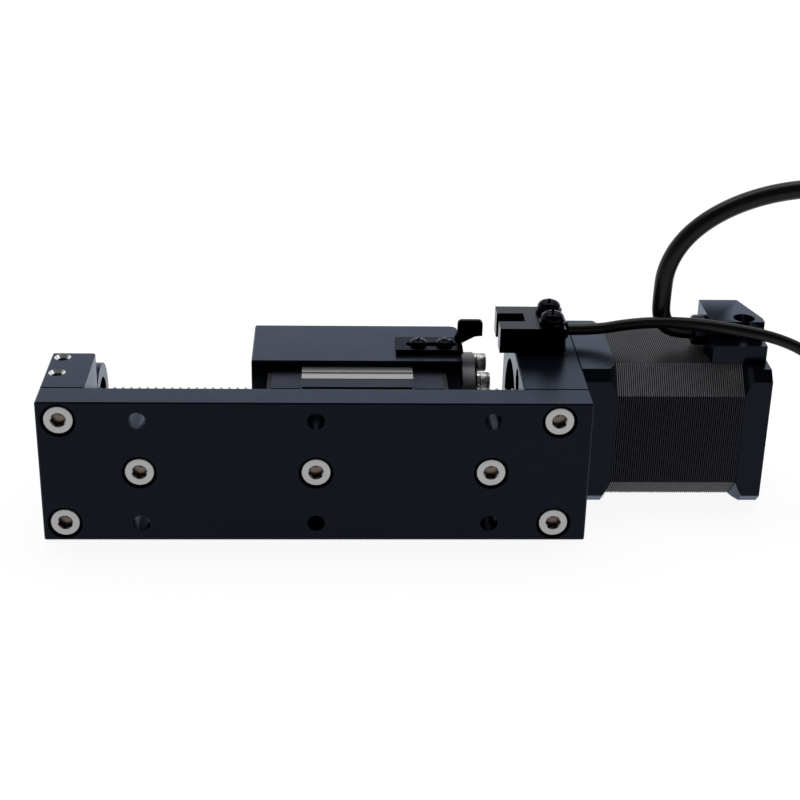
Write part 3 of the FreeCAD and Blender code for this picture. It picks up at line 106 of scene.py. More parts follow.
def maths(tree, operation, first, second=None):
    node = tree.nodes.new("ShaderNodeMath")
    node.operation = operation
    for socket, value in zip(node.inputs, (first, second)):
        if value is None:
            continue
        if isinstance(value, (int, float)):
            socket.default_value = value
        else:
            wire(tree, value, socket)
    return node.outputs[0]


def blasted_grain():
    """Fine grain of a blasted or moulded surface, and broad patches of tone over it."""
    group, ins, outs = new_group("blasted grain", [
        ("Vector", "INPUT", "NodeSocketVector"),
        ("Grain size", "INPUT", "NodeSocketFloat"),
        ("Patch size", "INPUT", "NodeSocketFloat"),
        ("Height", "OUTPUT", "NodeSocketFloat"),
        ("Patches", "OUTPUT", "NodeSocketFloat"),
    ])
    grain = group.nodes.new("ShaderNodeTexNoise")
    grain.inputs["Detail"].default_value = 3
    grain.inputs["Roughness"].default_value = 0.65
    patches = group.nodes.new("ShaderNodeTexNoise")
    patches.inputs["Detail"].default_value = 4
    patches.inputs["Distortion"].default_value = 0.6
    for node, size, result in ((grain, "Grain size", "Height"), (patches, "Patch size", "Patches")):
        wire(group, ins.outputs["Vector"], node.inputs["Vector"])
        wire(group, maths(group, "DIVIDE", 1.0, ins.outputs[size]), node.inputs["Scale"])
        wire(group, node.outputs["Fac"], outs.inputs[result])
    return group


def drawn_lines():
    """Fine parallel lines left by grinding or drawing, along the vector's X."""
    group, ins, outs = new_group("drawn lines", [
        ("Vector", "INPUT", "NodeSocketVector"),
        ("Line width", "INPUT", "NodeSocketFloat"),
        ("Stretch", "INPUT", "NodeSocketFloat"),
        ("Height", "OUTPUT", "NodeSocketFloat"),
    ])
    parts = group.nodes.new("ShaderNodeSeparateXYZ")
    squeezed = group.nodes.new("ShaderNodeCombineXYZ")
    lines = group.nodes.new("ShaderNodeTexNoise")
    lines.inputs["Detail"].default_value = 4
    lines.inputs["Roughness"].default_value = 0.7
    wire(group, ins.outputs["Vector"], parts.inputs[0])
    wire(group, maths(group, "DIVIDE", parts.outputs[0], ins.outputs["Stretch"]), squeezed.inputs[0])
    wire(group, parts.outputs[1], squeezed.inputs[1])
    wire(group, parts.outputs[2], squeezed.inputs[2])
    wire(group, squeezed.outputs[0], lines.inputs["Vector"])
    wire(group, maths(group, "DIVIDE", 1.0, ins.outputs["Line width"]), lines.inputs["Scale"])
    wire(group, lines.outputs["Fac"], outs.inputs["Height"])
    return group


BLASTED_GRAIN = blasted_grain()
DRAWN_LINES = drawn_lines()


def new_material(name):
    material = bpy.data.materials.new(name)
    material.use_nodes = True
    tree = material.node_tree
    shader = tree.nodes["Principled BSDF"]
    place = tree.nodes.new("ShaderNodeTexCoord")
    return material, tree, shader, place.outputs["Object"]


def blend_colours(tree, factor, dark, light):
    mix = tree.nodes.new("ShaderNodeMix")
    mix.data_type = "RGBA"
    wire(tree, factor, mix.inputs["Factor"])
    mix.inputs["A"].default_value = (*dark, 1)
    mix.inputs["B"].default_value = (*light, 1)
    return mix.outputs["Result"]


def spread_values(tree, factor, low, high):
    """A value that runs from low to high as the factor runs over the middle of its range."""
    node = tree.nodes.new("ShaderNodeMapRange")
    wire(tree, factor, node.inputs["Value"])
    node.inputs["From Min"].default_value = 0.3
    node.inputs["From Max"].default_value = 0.7
    node.inputs["To Min"].default_value = low
    node.inputs["To Max"].default_value = high
    return node.outputs["Result"]


def raise_surface(tree, shader, height, strength, distance):
    bump = tree.nodes.new("ShaderNodeBump")
    bump.inputs["Strength"].default_value = strength
    bump.inputs["Distance"].default_value = distance * MM
    wire(tree, height, bump.inputs["Height"])
    wire(tree, bump.outputs[0], shader.inputs["Normal"])


def coated(name, dark, light, roughness, tint=(1, 1, 1), metallic=0.0, ior=1.45, grain=0.12, patch=9.0,
           bump=0.25):
    """Anodised, painted, moulded or rubber finish: fine grain, uneven tone and a tinted mirror."""
    material, tree, shader, place = new_material(name)
    surface = tree.nodes.new("ShaderNodeGroup")
    surface.node_tree = BLASTED_GRAIN
    wire(tree, place, surface.inputs["Vector"])
    surface.inputs["Grain size"].default_value = grain * MM
    surface.inputs["Patch size"].default_value = patch * MM
    patches = surface.outputs["Patches"]
    wire(tree, blend_colours(tree, patches, dark, light), shader.inputs["Base Color"])
    worn = spread_values(tree, patches, roughness * 0.93, roughness * 1.07)
    wire(tree, worn, shader.inputs["Roughness"])
    raise_surface(tree, shader, surface.outputs["Height"], bump, grain * 0.3)
    shader.inputs["IOR"].default_value = ior
    shader.inputs["Metallic"].default_value = metallic
    shader.inputs["Specular Tint"].default_value = (*tint, 1)
    return material


def ground(name, dark, light, roughness, line=0.05, stretch=30.0, bump=0.2, turn=(0, 0, 0)):
    """Bare metal with the fine lines of grinding, drawing or turning."""
    material, tree, shader, place = new_material(name)
    mapping = tree.nodes.new("ShaderNodeMapping")
    mapping.inputs["Rotation"].default_value = turn
    wire(tree, place, mapping.inputs["Vector"])
    lines = tree.nodes.new("ShaderNodeGroup")
    lines.node_tree = DRAWN_LINES
    wire(tree, mapping.outputs[0], lines.inputs["Vector"])
    lines.inputs["Line width"].default_value = line * MM
    lines.inputs["Stretch"].default_value = stretch
    height = lines.outputs["Height"]
    wire(tree, blend_colours(tree, height, dark, light), shader.inputs["Base Color"])
    wire(tree, spread_values(tree, height, roughness * 0.8, roughness * 1.2), shader.inputs["Roughness"])
    raise_surface(tree, shader, height, bump, line * 0.2)
    shader.inputs["Metallic"].default_value = 1
    return material


def striped(name, dark, light, pitch, axis, roughness, metallic, bump):
    """Wire or sheet laid side by side: one dark line at every pitch along an axis."""
    material, tree, shader, place = new_material(name)
    parts = tree.nodes.new("ShaderNodeSeparateXYZ")
    wire(tree, place, parts.inputs[0])
    phase = maths(tree, "MULTIPLY", parts.outputs[axis], FULL_TURN / (pitch * MM))
    wave = maths(tree, "MULTIPLY_ADD", maths(tree, "SINE", phase), 0.5)
    wave.node.inputs[2].default_value = 0.5
    wire(tree, blend_colours(tree, wave, dark, light), shader.inputs["Base Color"])
    wire(tree, spread_values(tree, wave, roughness * 1.2, roughness * 0.9), shader.inputs["Roughness"])
    raise_surface(tree, shader, wave, bump, pitch * 0.3)
    shader.inputs["Metallic"].default_value = metallic
    return material


def lit_lens():
    """Red lens with the glow of the lamp behind it."""
    material = coated("red lens", (0.12, 0.002, 0.004), (0.2, 0.004, 0.006), 0.15, grain=0.3, patch=1.0)
    shader = material.node_tree.nodes["Principled BSDF"]
    shader.inputs["Emission Color"].default_value = (0.6, 0.01, 0.015, 1)
    shader.inputs["Emission Strength"].default_value = 0.12
    return material


BLUE_TINT = (0.66, 0.78, 1.0)
GREY_EDGE = (0.84, 0.86, 0.94)
DULL_EDGE = (0.64, 0.65, 0.7)

FINISHES = {
    "black_anodised": coated("black anodised", (0.0036, 0.0046, 0.0088), (0.0052, 0.0064, 0.0118), 0.27,
                             BLUE_TINT, 0.5, 1.27),
    "motor_black": coated("black casting paint", (0.0045, 0.0055, 0.0092), (0.0068, 0.0078, 0.0126),
                          0.2, BLUE_TINT, 0.5, 1.28, grain=0.35, patch=6.0),
    "lamination_black": striped("painted laminations", (0.013, 0.0135, 0.018), (0.027, 0.028, 0.036),
                                0.5, 0, 0.36, 1.0, 0.0),
    # Bare sheet edges with a painted highlight: bright stripes that only the upward-facing corners take.
    "lamination_edge_highlight": striped("bare lamination edges with painted highlight", (0.015, 0.015, 0.018), (0.6, 0.6, 0.64), 0.5, 0,
                               0.42, 1.0, 0.0),
    "copper_wire": striped("enamelled copper wire", (0.25, 0.07, 0.02), (0.75, 0.3, 0.12), 0.3, 0,
                           0.3, 1.0, 0.5),
    "bright_screw_steel": ground("bright stainless steel", (0.31, 0.31, 0.315), (0.45, 0.45, 0.455),
                                 0.3),
    # Socket walls of the bright screws: painted shade with a painted warm reflection, darker and browner
    # than the head's steel.
    "socket_shade_steel": ground("drawn socket walls in painted shade", (0.05, 0.038, 0.03), (0.22, 0.175, 0.15), 0.22,
                           line=0.09, stretch=4.0),
    "black_screw_steel": coated("black oxide", (0.003, 0.003, 0.0045), (0.007, 0.007, 0.0095), 0.16,
                                (0.8, 0.82, 0.88), 1.0, grain=0.08, patch=2.0, bump=0.15),
    "rail_steel": ground("ground rail steel", (0.26, 0.26, 0.262), (0.37, 0.37, 0.372), 0.34),
    "nut_steel": ground("ground nut steel", (0.045, 0.045, 0.05), (0.075, 0.075, 0.083), 0.4,
                        stretch=12.0),
    "bearing_steel": ground("polished bearing steel", (0.62, 0.62, 0.63), (0.78, 0.78, 0.79), 0.16),
    "spring_steel": ground("spring steel", (0.16, 0.16, 0.18), (0.3, 0.3, 0.32), 0.3),
    "rotor_iron": striped("laminated iron", (0.2, 0.2, 0.21), (0.36, 0.36, 0.37), 0.5, 0, 0.4, 1.0,
                          0.3),
    "magnet": coated("sintered magnet", (0.05, 0.05, 0.055), (0.1, 0.1, 0.11), 0.5, metallic=1.0),
    "end_cap_plastic": coated("moulded end cap", (0.006, 0.0068, 0.0105), (0.008, 0.009, 0.0135), 0.32,
                              (0.8, 0.84, 0.93), 1.0),
    "seal_rubber": coated("seal rubber", (0.003, 0.003, 0.0035), (0.006, 0.006, 0.007), 0.6, ior=1.35),
    "flag_black": coated("black sheet steel", (0.0012, 0.0012, 0.002), (0.002, 0.002, 0.003), 0.25,
                         DULL_EDGE, 1.0),
    "sensor_plastic": coated("sensor housing", (0.0008, 0.0009, 0.0016), (0.0016, 0.0017, 0.0028), 0.27,
                             GREY_EDGE, 1.0, grain=0.2),
    "red_lens": lit_lens(),
    "cable_jacket": coated("cable jacket", (0.0018, 0.0018, 0.0026), (0.003, 0.003, 0.0042), 0.34,
                           ior=1.28, grain=0.25, patch=14.0, bump=0.12),
    "plug_plastic": coated("natural nylon", (0.62, 0.59, 0.5), (0.72, 0.7, 0.62), 0.42, grain=0.3),
    "fresh_cut": ground("fresh countersink", (0.75, 0.75, 0.76), (0.9, 0.9, 0.91), 0.25),
    # Painted shade: the bare cut walls of a tapped hole, painted dark.
    "tapped_wall_shade": ground("tapped hole wall in painted shade", (0.02, 0.02, 0.024), (0.2, 0.2, 0.22), 0.35),
    "thread_steel": ground("rolled thread steel", (0.16, 0.155, 0.15), (0.26, 0.25, 0.24), 0.3,
                           turn=(0, 0, math.pi / 2)),
}

NODE_FINISHES = {
    "black_anodised": ["base_plate", "motor_support", "carriage_table"],
    "motor_black": ["motor_front_cap", "motor_rear_cap"],
    "copper_wire": ["stator_windings"],
    "rail_steel": ["guide_rail", "guide_block"],
    "nut_steel": ["ball_nut"],
    "bright_screw_steel": ["nut_washers"],
    "black_screw_steel": ["sensor_washers", "bearing_lock_nut"],
    "bearing_steel": [f"{name}_bearing_{part}" for name in ("idle", "front", "rear")
                      for part in ("outer", "inner", "balls")],
    "spring_steel": ["wave_spring", "idle_circlip"],
    "rotor_iron": ["rotor_cup_front", "rotor_cup_rear"],
    "magnet": ["rotor_magnet"],
    "end_cap_plastic": ["guide_end_cap_left", "guide_end_cap_right"],
    "seal_rubber": ["guide_seal_left", "guide_seal_right", "nut_wiper_left", "nut_wiper_right"],
    "red_lens": ["sensor_window"],
}
for finish, names in NODE_FINISHES.items():
    for name in names:
        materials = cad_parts[name].data.materials
        materials.clear()
        materials.append(FINISHES[finish])

# Making pieces


def new_object(name, data):
    made = bpy.data.objects.new(name, data)
    bpy.context.scene.collection.objects.link(made)
    return made


def mesh_of(bm, name, smooth=35):
    bmesh.ops.remove_doubles(bm, verts=bm.verts, dist=1e-4)
    bmesh.ops.recalc_face_normals(bm, faces=bm.faces)
    mesh = bpy.data.meshes.new(name)
    bm.to_mesh(mesh)
    bm.free()
    shade(mesh, smooth)
    return mesh


def shade(mesh, smooth):
    """Smooth shading, with edges sharper than an angle kept sharp."""
    mesh.polygons.foreach_set("use_smooth", [True] * len(mesh.polygons))
    mesh.set_sharp_from_angle(angle=math.radians(smooth))


def add_piece(name, mesh, body, stands_for=(), finish=None):
    """A mesh in millimetres from the plate's corner becomes a piece that rides on a body."""
    mesh.transform(TO_FRAME)
    piece = new_object(name, mesh)
    if finish:
        mesh.materials.append(FINISHES[finish])
    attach(piece, body)
    if stands_for:
        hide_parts(*stands_for)
    return piece


def skin(bm, rings, cap_start=True, cap_end=True):
    """Faces between successive rings of points, with flat ends."""
    loops = [[bm.verts.new(point) for point in ring] for ring in rings]
    for lower, upper in zip(loops, loops[1:]):
        for k in range(len(lower)):
            after = (k + 1) % len(lower)
            bm.faces.new((lower[k], lower[after], upper[after], upper[k]))
    if cap_start:
        bm.faces.new(reversed(loops[0]))
    if cap_end:
        bm.faces.new(loops[-1])
    return loops


def ring(radius, height, count=AROUND):
    """A ring about Z; radius is a number or a function of the angle."""
    points = []
    for k in range(count):
        angle = FULL_TURN * k / count
        reach = radius(angle) if callable(radius) else radius
        points.append(Vector((reach * math.cos(angle), reach * math.sin(angle), height)))
    return points


def hexagon(across):
    def reach(angle):
        return across / 2 / math.cos(angle % (math.pi / 3) - math.pi / 6)
    return reach


CROSS_CORNER = math.pi / 16


def cross(arm):
    """Outline of a cross recess whose arms reach a radius."""
    half_width = arm * math.tan(CROSS_CORNER)

    def reach(angle):
        off_arm = (angle + math.pi / 4) % (math.pi / 2) - math.pi / 4
        if abs(off_arm) <= CROSS_CORNER + 1e-6:
            return arm / math.cos(off_arm)
        return half_width / abs(math.sin(off_arm))
    return reach


def threaded_shank(bm, radius, length, pitch, top=0.4):
    """Right-hand thread below a head, as a closed shell of its own."""
    count = 24
    root = radius - 0.6 * pitch
    steps = round((length + top) / pitch * 5)
    rings = []
    for k in range(steps + 1):
        height = top - (length + top) * k / steps
        fade = max(0.0, min(1.0, (height + length) / pitch))

        def reach(angle):
            phase = (height / pitch - angle / FULL_TURN) % 1
            return root + (radius - root) * abs(2 * phase - 1) * fade
        rings.append(ring(reach, height, count))
    skin(bm, list(reversed(rings)))


def socket_screw_mesh(name, radius, length, head_radius, head_height, hex_across, pitch):
    """Socket head screw: drilled hexagon socket, rounded and knurled head, threaded shank."""
    depth = 0.55 * head_height
    mouth = hex_across / 2 / math.cos(math.pi / 6) + 0.015 * hex_across
    rim = 0.14 * head_radius
    knurl = 0.03 * head_radius

    def knurled(angle):
        return head_radius - knurl * (round(angle / FULL_TURN * AROUND) % 2)
    bm = bmesh.new()
    sockets = [
        ring(0.02, head_height - depth - 0.12 * hex_across),
        ring(0.46 * hex_across, head_height - depth),
        ring(hexagon(hex_across), head_height - depth),
        ring(hexagon(hex_across), head_height - 0.08 * hex_across),
        ring(mouth, head_height),
    ]
    rings = sockets + [
        ring(head_radius - rim, head_height),
        ring(head_radius - 0.55 * rim, head_height - 0.12 * rim),
        ring(head_radius - 0.15 * rim, head_height - 0.5 * rim),
        ring(head_radius - knurl, head_height - rim),
        ring(knurled, head_height - 1.25 * rim),
        ring(knurled, 0.12 * head_height),
        ring(head_radius - knurl, 0.08 * head_height),
        ring(head_radius - 0.6 * rim, 0),
        ring(radius, 0),
    ]
    skin(bm, rings)
    threaded_shank(bm, radius, length, pitch)
    mesh = mesh_of(bm, name, 28)
    mark_socket(mesh, mouth, head_height - 0.07 * hex_across)
    return mesh


def pan_screw_mesh(name, radius, length, head_radius, head_height, pitch):
    """Pan head screw with a tapered cross recess."""
    arm = 0.62 * head_radius
    depth = 0.6 * head_height

    def crown(reach):
        share = min(1.0, reach / head_radius)
        return head_height * (0.3 + 0.7 * math.sqrt(1 - 0.999 * share ** 3))
    outline = cross(arm)
    bm = bmesh.new()

    def on_crown(radius_of):
        points = ring(radius_of, 0)
        return [Vector((p.x, p.y, crown(math.hypot(p.x, p.y)))) for p in points]
    rings = [
        ring(lambda a: 0.08 * outline(a), head_height - depth),
        ring(lambda a: 0.55 * outline(a), head_height - 0.92 * depth),
        ring(lambda a: 0.93 * outline(a), head_height - 0.35 * depth),
        on_crown(lambda a: outline(a)),
        on_crown(lambda a: outline(a) + 0.25 * (arm - outline(a))),
        on_crown(arm * 1.06),
        on_crown(head_radius * 0.82),
        on_crown(head_radius * 0.92),
        on_crown(head_radius * 0.975),
        on_crown(head_radius),
        ring(head_radius, 0.08 * head_height),
        ring(head_radius * 0.97, 0),
        ring(radius, 0),
    ]
    skin(bm, rings)
    threaded_shank(bm, radius, length, pitch)
    return mesh_of(bm, name, 30)


def mark_socket(mesh, mouth, top):
    """Faces inside the socket carry 1 in the attribute that the pattern paints them by; on the bright
    screws that paint is a painted shade, darker and browner than the head.
    """
    inside = mesh.attributes.new("in_socket", "BOOLEAN", "FACE")
    marks = []
    for face in mesh.polygons:
        middle = face.center
        marks.append(math.hypot(middle.x, middle.y) < mouth * 0.97 and 0.2 * top < middle.z < top)
    inside.data.foreach_set("value", marks)


# Geometry Nodes: patterns of screws, the laminated stack and the rolled thread


def new_tree(name, inputs):
    tree = bpy.data.node_groups.new(name, "GeometryNodeTree")
    tree.interface.new_socket(name="Geometry", in_out="INPUT", socket_type="NodeSocketGeometry")
    for label, kind in inputs:
        tree.interface.new_socket(name=label, in_out="INPUT", socket_type="NodeSocket" + kind)
    tree.interface.new_socket(name="Geometry", in_out="OUTPUT", socket_type="NodeSocketGeometry")
    return tree, tree.nodes.new("NodeGroupInput"), tree.nodes.new("NodeGroupOutput")


def step(tree, kind, links=(), **settings):
    """A node with its settings made and its inputs linked or set."""
    node = tree.nodes.new(kind)
    for label, value in settings.items():
        setattr(node, label, value)
    for label, value in dict(links).items():
        socket = node.inputs[label]
        if isinstance(value, bpy.types.NodeSocket):
            tree.links.new(value, socket)
        else:
            socket.default_value = value
    return node


def combine(tree, x, y, z):
    return step(tree, "ShaderNodeCombineXYZ", {0: x, 1: y, 2: z}).outputs[0]


def gap_total(tree, count, pitch):
    """Length of a row of count things at a pitch."""
    gaps = step(tree, "ShaderNodeMath", {0: count, 1: 1.0}, operation="SUBTRACT").outputs[0]
    return step(tree, "ShaderNodeMath", {0: gaps, 1: pitch}, operation="MULTIPLY").outputs[0]


def by_chance(tree, low, high, seed):
    """A number between low and high for each copy."""
    chance = step(tree, "FunctionNodeRandomValue", {"Min": low, "Max": high, "Seed": seed},
                  data_type="FLOAT")
    return next(socket for socket in chance.outputs if socket.enabled)


def finish_tree(tree, outs, geometry, finish, mark=None, marked_finish=None):
    """Make the copies real and paint them; faces that carry the mark get a finish of their own."""
    real = step(tree, "GeometryNodeRealizeInstances", {"Geometry": geometry})
    painted = step(tree, "GeometryNodeSetMaterial", {"Geometry": real.outputs[0], "Material": finish})
    if mark:
        marked = step(tree, "GeometryNodeInputNamedAttribute", {"Name": mark}, data_type="BOOLEAN")
        painted = step(tree, "GeometryNodeSetMaterial", {
            "Geometry": painted.outputs[0], "Selection": marked.outputs["Attribute"],
            "Material": marked_finish})
    tree.links.new(painted.outputs[0], outs.inputs[0])
    return tree


def screw_pattern_tree():
    """A grid of screws, each turned by chance about its own axis as hand-driven ones are."""
    tree, ins, outs = new_tree("screw pattern", [
        ("Screw", "Object"), ("Columns", "Int"), ("Rows", "Int"), ("Column pitch", "Float"),
        ("Row pitch", "Float"), ("Facing", "Vector"), ("Middle", "Vector"), ("Largest turn", "Float"),
        ("Seed", "Int"), ("Head finish", "Material"), ("Socket finish", "Material")])
    get = ins.outputs
    grid = step(tree, "GeometryNodeMeshGrid", {
        "Size X": gap_total(tree, get["Columns"], get["Column pitch"]),
        "Size Y": gap_total(tree, get["Rows"], get["Row pitch"]),
        "Vertices X": get["Columns"], "Vertices Y": get["Rows"]})
    screw = step(tree, "GeometryNodeObjectInfo", {"Object": get["Screw"]})
    turn = by_chance(tree, 0.0, get["Largest turn"], get["Seed"])
    placed = step(tree, "GeometryNodeInstanceOnPoints", {
        "Points": grid.outputs["Mesh"], "Instance": screw.outputs["Geometry"],
        "Rotation": combine(tree, 0.0, 0.0, turn)})
    turned = step(tree, "GeometryNodeTransform", {
        "Geometry": placed.outputs[0], "Rotation": get["Facing"], "Translation": get["Middle"]})
    return finish_tree(tree, outs, turned.outputs[0], get["Head finish"], "in_socket", get["Socket finish"])


def lamination_tree():
    """Laminations stacked along X at a pitch, their rims very slightly uneven."""
    tree, ins, outs = new_tree("lamination stack", [
        ("Lamination", "Object"), ("Count", "Int"), ("Pitch", "Float"), ("Start", "Vector"),
        ("Unevenness", "Float"), ("Seed", "Int"), ("Finish", "Material"),
        ("Corner highlight finish", "Material")])
    get = ins.outputs
    line = step(tree, "GeometryNodeMeshLine", {
        "Count": get["Count"], "Start Location": get["Start"],
        "Offset": combine(tree, get["Pitch"], 0.0, 0.0)})
    least = step(tree, "ShaderNodeMath", {0: 1.0, 1: get["Unevenness"]}, operation="SUBTRACT")
    size = by_chance(tree, least.outputs[0], 1.0, get["Seed"])
    sheet = step(tree, "GeometryNodeObjectInfo", {"Object": get["Lamination"]})
    stack = step(tree, "GeometryNodeInstanceOnPoints", {
        "Points": line.outputs[0], "Instance": sheet.outputs["Geometry"],
        "Scale": combine(tree, 1.0, size, size)})
    # The marked upper corner faces take the corner finish, a painted highlight on the bare sheet edges.
    return finish_tree(tree, outs, stack.outputs[0], get["Finish"], "on_corner", get["Corner highlight finish"])


def thread_tree():
    """A grid rolled into a cylinder with a round-bottomed right-hand groove at every lead."""
    tree, ins, outs = new_tree("rolled thread", [
        ("Radius", "Float"), ("Length", "Float"), ("Lead", "Float"), ("Groove width", "Float"),
        ("Groove depth", "Float"), ("Around", "Int"), ("Along", "Int"), ("Finish", "Material")])
    get = ins.outputs

    def math_node(operation, first, second=0.0):
        return step(tree, "ShaderNodeMath", {0: first, 1: second}, operation=operation).outputs[0]
    columns = math_node("ADD", get["Around"], 1.0)
    grid = step(tree, "GeometryNodeMeshGrid", {
        "Size X": 1.0, "Size Y": 1.0, "Vertices X": columns, "Vertices Y": get["Along"]})
    place = step(tree, "GeometryNodeInputPosition").outputs[0]
    spot = step(tree, "ShaderNodeSeparateXYZ", {0: place})
    share = math_node("ADD", spot.outputs[0], 0.5)
    along = math_node("MULTIPLY", math_node("ADD", spot.outputs[1], 0.5), get["Length"])
    leads = math_node("DIVIDE", along, get["Lead"])
    phase = math_node("FRACT", math_node("SUBTRACT", leads, share))
    off = math_node("MULTIPLY", math_node("ABSOLUTE", math_node("SUBTRACT", phase, 0.5)), get["Lead"])
    off_share = math_node("DIVIDE", off, math_node("MULTIPLY", get["Groove width"], 0.5))
    below = math_node("SUBTRACT", 1.0, math_node("POWER", off_share, 2.0))
    arch = math_node("SQRT", math_node("MAXIMUM", below, 0.0))
    to_end = math_node("MINIMUM", along, math_node("SUBTRACT", get["Length"], along))
    end_leads = math_node("DIVIDE", to_end, get["Lead"])
    fade = math_node("MINIMUM", math_node("MAXIMUM", end_leads, 0.0), 1.0)
    depth = math_node("MULTIPLY", math_node("MULTIPLY", arch, fade), get["Groove depth"])
    reach = math_node("SUBTRACT", get["Radius"], depth)
    angle = math_node("MULTIPLY", share, FULL_TURN)
    rolled = combine(tree, along, math_node("MULTIPLY", reach, math_node("COSINE", angle)),
                     math_node("MULTIPLY", reach, math_node("SINE", angle)))
    shaped = step(tree, "GeometryNodeSetPosition", {
        "Geometry": grid.outputs["Mesh"], "Position": rolled})
    joined = step(tree, "GeometryNodeMergeByDistance", {
        "Geometry": shaped.outputs[0], "Distance": 1e-4})
    return finish_tree(tree, outs, joined.outputs[0], get["Finish"])


def grown(name, tree, values):
    """The plain mesh that a tree makes with these input values."""
    carrier = new_object(name, bpy.data.meshes.new(name))
    modifier = carrier.modifiers.new("make", "NODES")
    modifier.node_group = tree
    for item in tree.interface.items_tree:
        if item.in_out == "INPUT" and item.name in values:
            modifier[item.identifier] = values[item.name]
    bpy.context.view_layer.update()
    graph = bpy.context.evaluated_depsgraph_get()
    mesh = bpy.data.meshes.new_from_object(carrier.evaluated_get(graph), depsgraph=graph)
    mesh.name = name
    bpy.data.objects.remove(carrier)
    return mesh


SCREW_PATTERN = screw_pattern_tree()
LAMINATION_STACK = lamination_tree()
ROLLED_THREAD = thread_tree()

TOWARD = {  # turn that brings a screw's head from +Z to a direction
    "-Y": (math.pi / 2, 0, 0),
    "+Y": (-math.pi / 2, 0, 0),
    "+X": (0, math.pi / 2, 0),
    "-X": (0, -math.pi / 2, 0),
    "+Z": (0, 0, 0),
}


def screws(name, node, body, pattern_mesh, grid, facing, middle, seed, head):
    """Screws on a grid of (columns, rows, column pitch, row pitch), in place of a CAD node."""
    pattern = new_object(name + "_one", pattern_mesh)
    columns, rows, column_pitch, row_pitch = grid
    mesh = grown(name, SCREW_PATTERN, {
        "Screw": pattern, "Columns": columns, "Rows": rows,
        "Column pitch": float(column_pitch), "Row pitch": float(row_pitch),
        "Facing": TOWARD[facing], "Middle": middle, "Largest turn": FULL_TURN, "Seed": seed,
        "Head finish": FINISHES[head],
        # Inside the bright screws' sockets the steel is painted darker and browner: a painted shade in the
        # recess.
        "Socket finish": FINISHES["socket_shade_steel" if head == "bright_screw_steel" else head]})
    bpy.data.objects.remove(pattern)
    shade(mesh, 28)
    return add_piece(name, mesh, body, [node])


# Screws

PLATE_SEAT = 4.3
SUPPORT_PITCH = 112.5
RAIL_MIDDLE = 62.5
BRIGHT, BLACK = "bright_screw_steel", "black_screw_steel"

screws("plate_support_screws", "support_screws", "base",
       socket_screw_mesh("m4_socket_screw", 2.0, 10.0, 3.5, 4.0, 3.0, 0.7),
       (2, 2, SUPPORT_PITCH, 26.0), "-Y", (5 + SUPPORT_PITCH / 2, PLATE_SEAT, AXIS_Z), 3, BRIGHT)
screws("plate_rail_screws", "rail_screws", "base",
       socket_screw_mesh("m4_rail_screw", 2.0, 8.0, 3.5, 4.0, 3.0, 0.7),
       (3, 1, 40.0, 0.0), "-Y", (RAIL_MIDDLE, PLATE_SEAT, AXIS_Z), 8, BRIGHT)
screws("table_socket_screws", "table_screws", "carriage",
       socket_screw_mesh("m3_socket_screw", 1.5, 16.0, 2.75, 3.0, 2.5, 0.5),
       (2, 2, 20.0, 25.0), "+Y", (72, 36, AXIS_Z), 5, BRIGHT)
screws("nut_socket_screws", "nut_screws", "carriage",
       socket_screw_mesh("m25_socket_screw", 1.25, 9.1, 2.25, 2.5, 2.0, 0.45),
       (2, 2, 19.92, 11.5), "+X", (101.6, AXIS_Y, AXIS_Z), 11, BRIGHT)
screws("motor_socket_screws", "motor_screws", "base",
       socket_screw_mesh("m3_motor_screw", 1.5, 10.0, 2.75, 3.0, 2.5, 0.5),
       (2, 2, 26.0, 26.0), "-X", (120, AXIS_Y, AXIS_Z), 6, BRIGHT)
screws("flag_pan_screws", "flag_screws", "carriage",
       pan_screw_mesh("m2_pan_screw", 1.0, 4.0, 2.05, 1.3, 0.4),
       (2, 1, 6.3, 0.0), "+Z", (81.3 + 5.5 + 6.3 / 2, 31.7, 36.1), 4, BLACK)
screws("sensor_pan_screws", "sensor_screws", "base",
       pan_screw_mesh("m3_pan_screw", 1.5, 12.0, 2.8, 2.3, 0.5),
       (1, 2, 0.0, 7.4), "+Z", (119, 36.3, 42.1), 2, BLACK)
screws("motor_pan_bolts", "motor_through_bolts", "base",
       pan_screw_mesh("m3_long_pan_screw", 1.5, 37.6, 2.75, 2.0, 0.5),
       (2, 2, 26.0, 26.0), "+X", (168.1, AXIS_Y, AXIS_Z), 9, BLACK)
screws("outlet_pan_screw", "cable_block_screw", "base",
       pan_screw_mesh("m22_pan_screw", 1.1, 3.37, 2.2, 1.4, 0.45),
       (1, 1, 0.0, 0.0), "+Z", (165, 31, 38.4), 7, BLACK)

# Ball screw


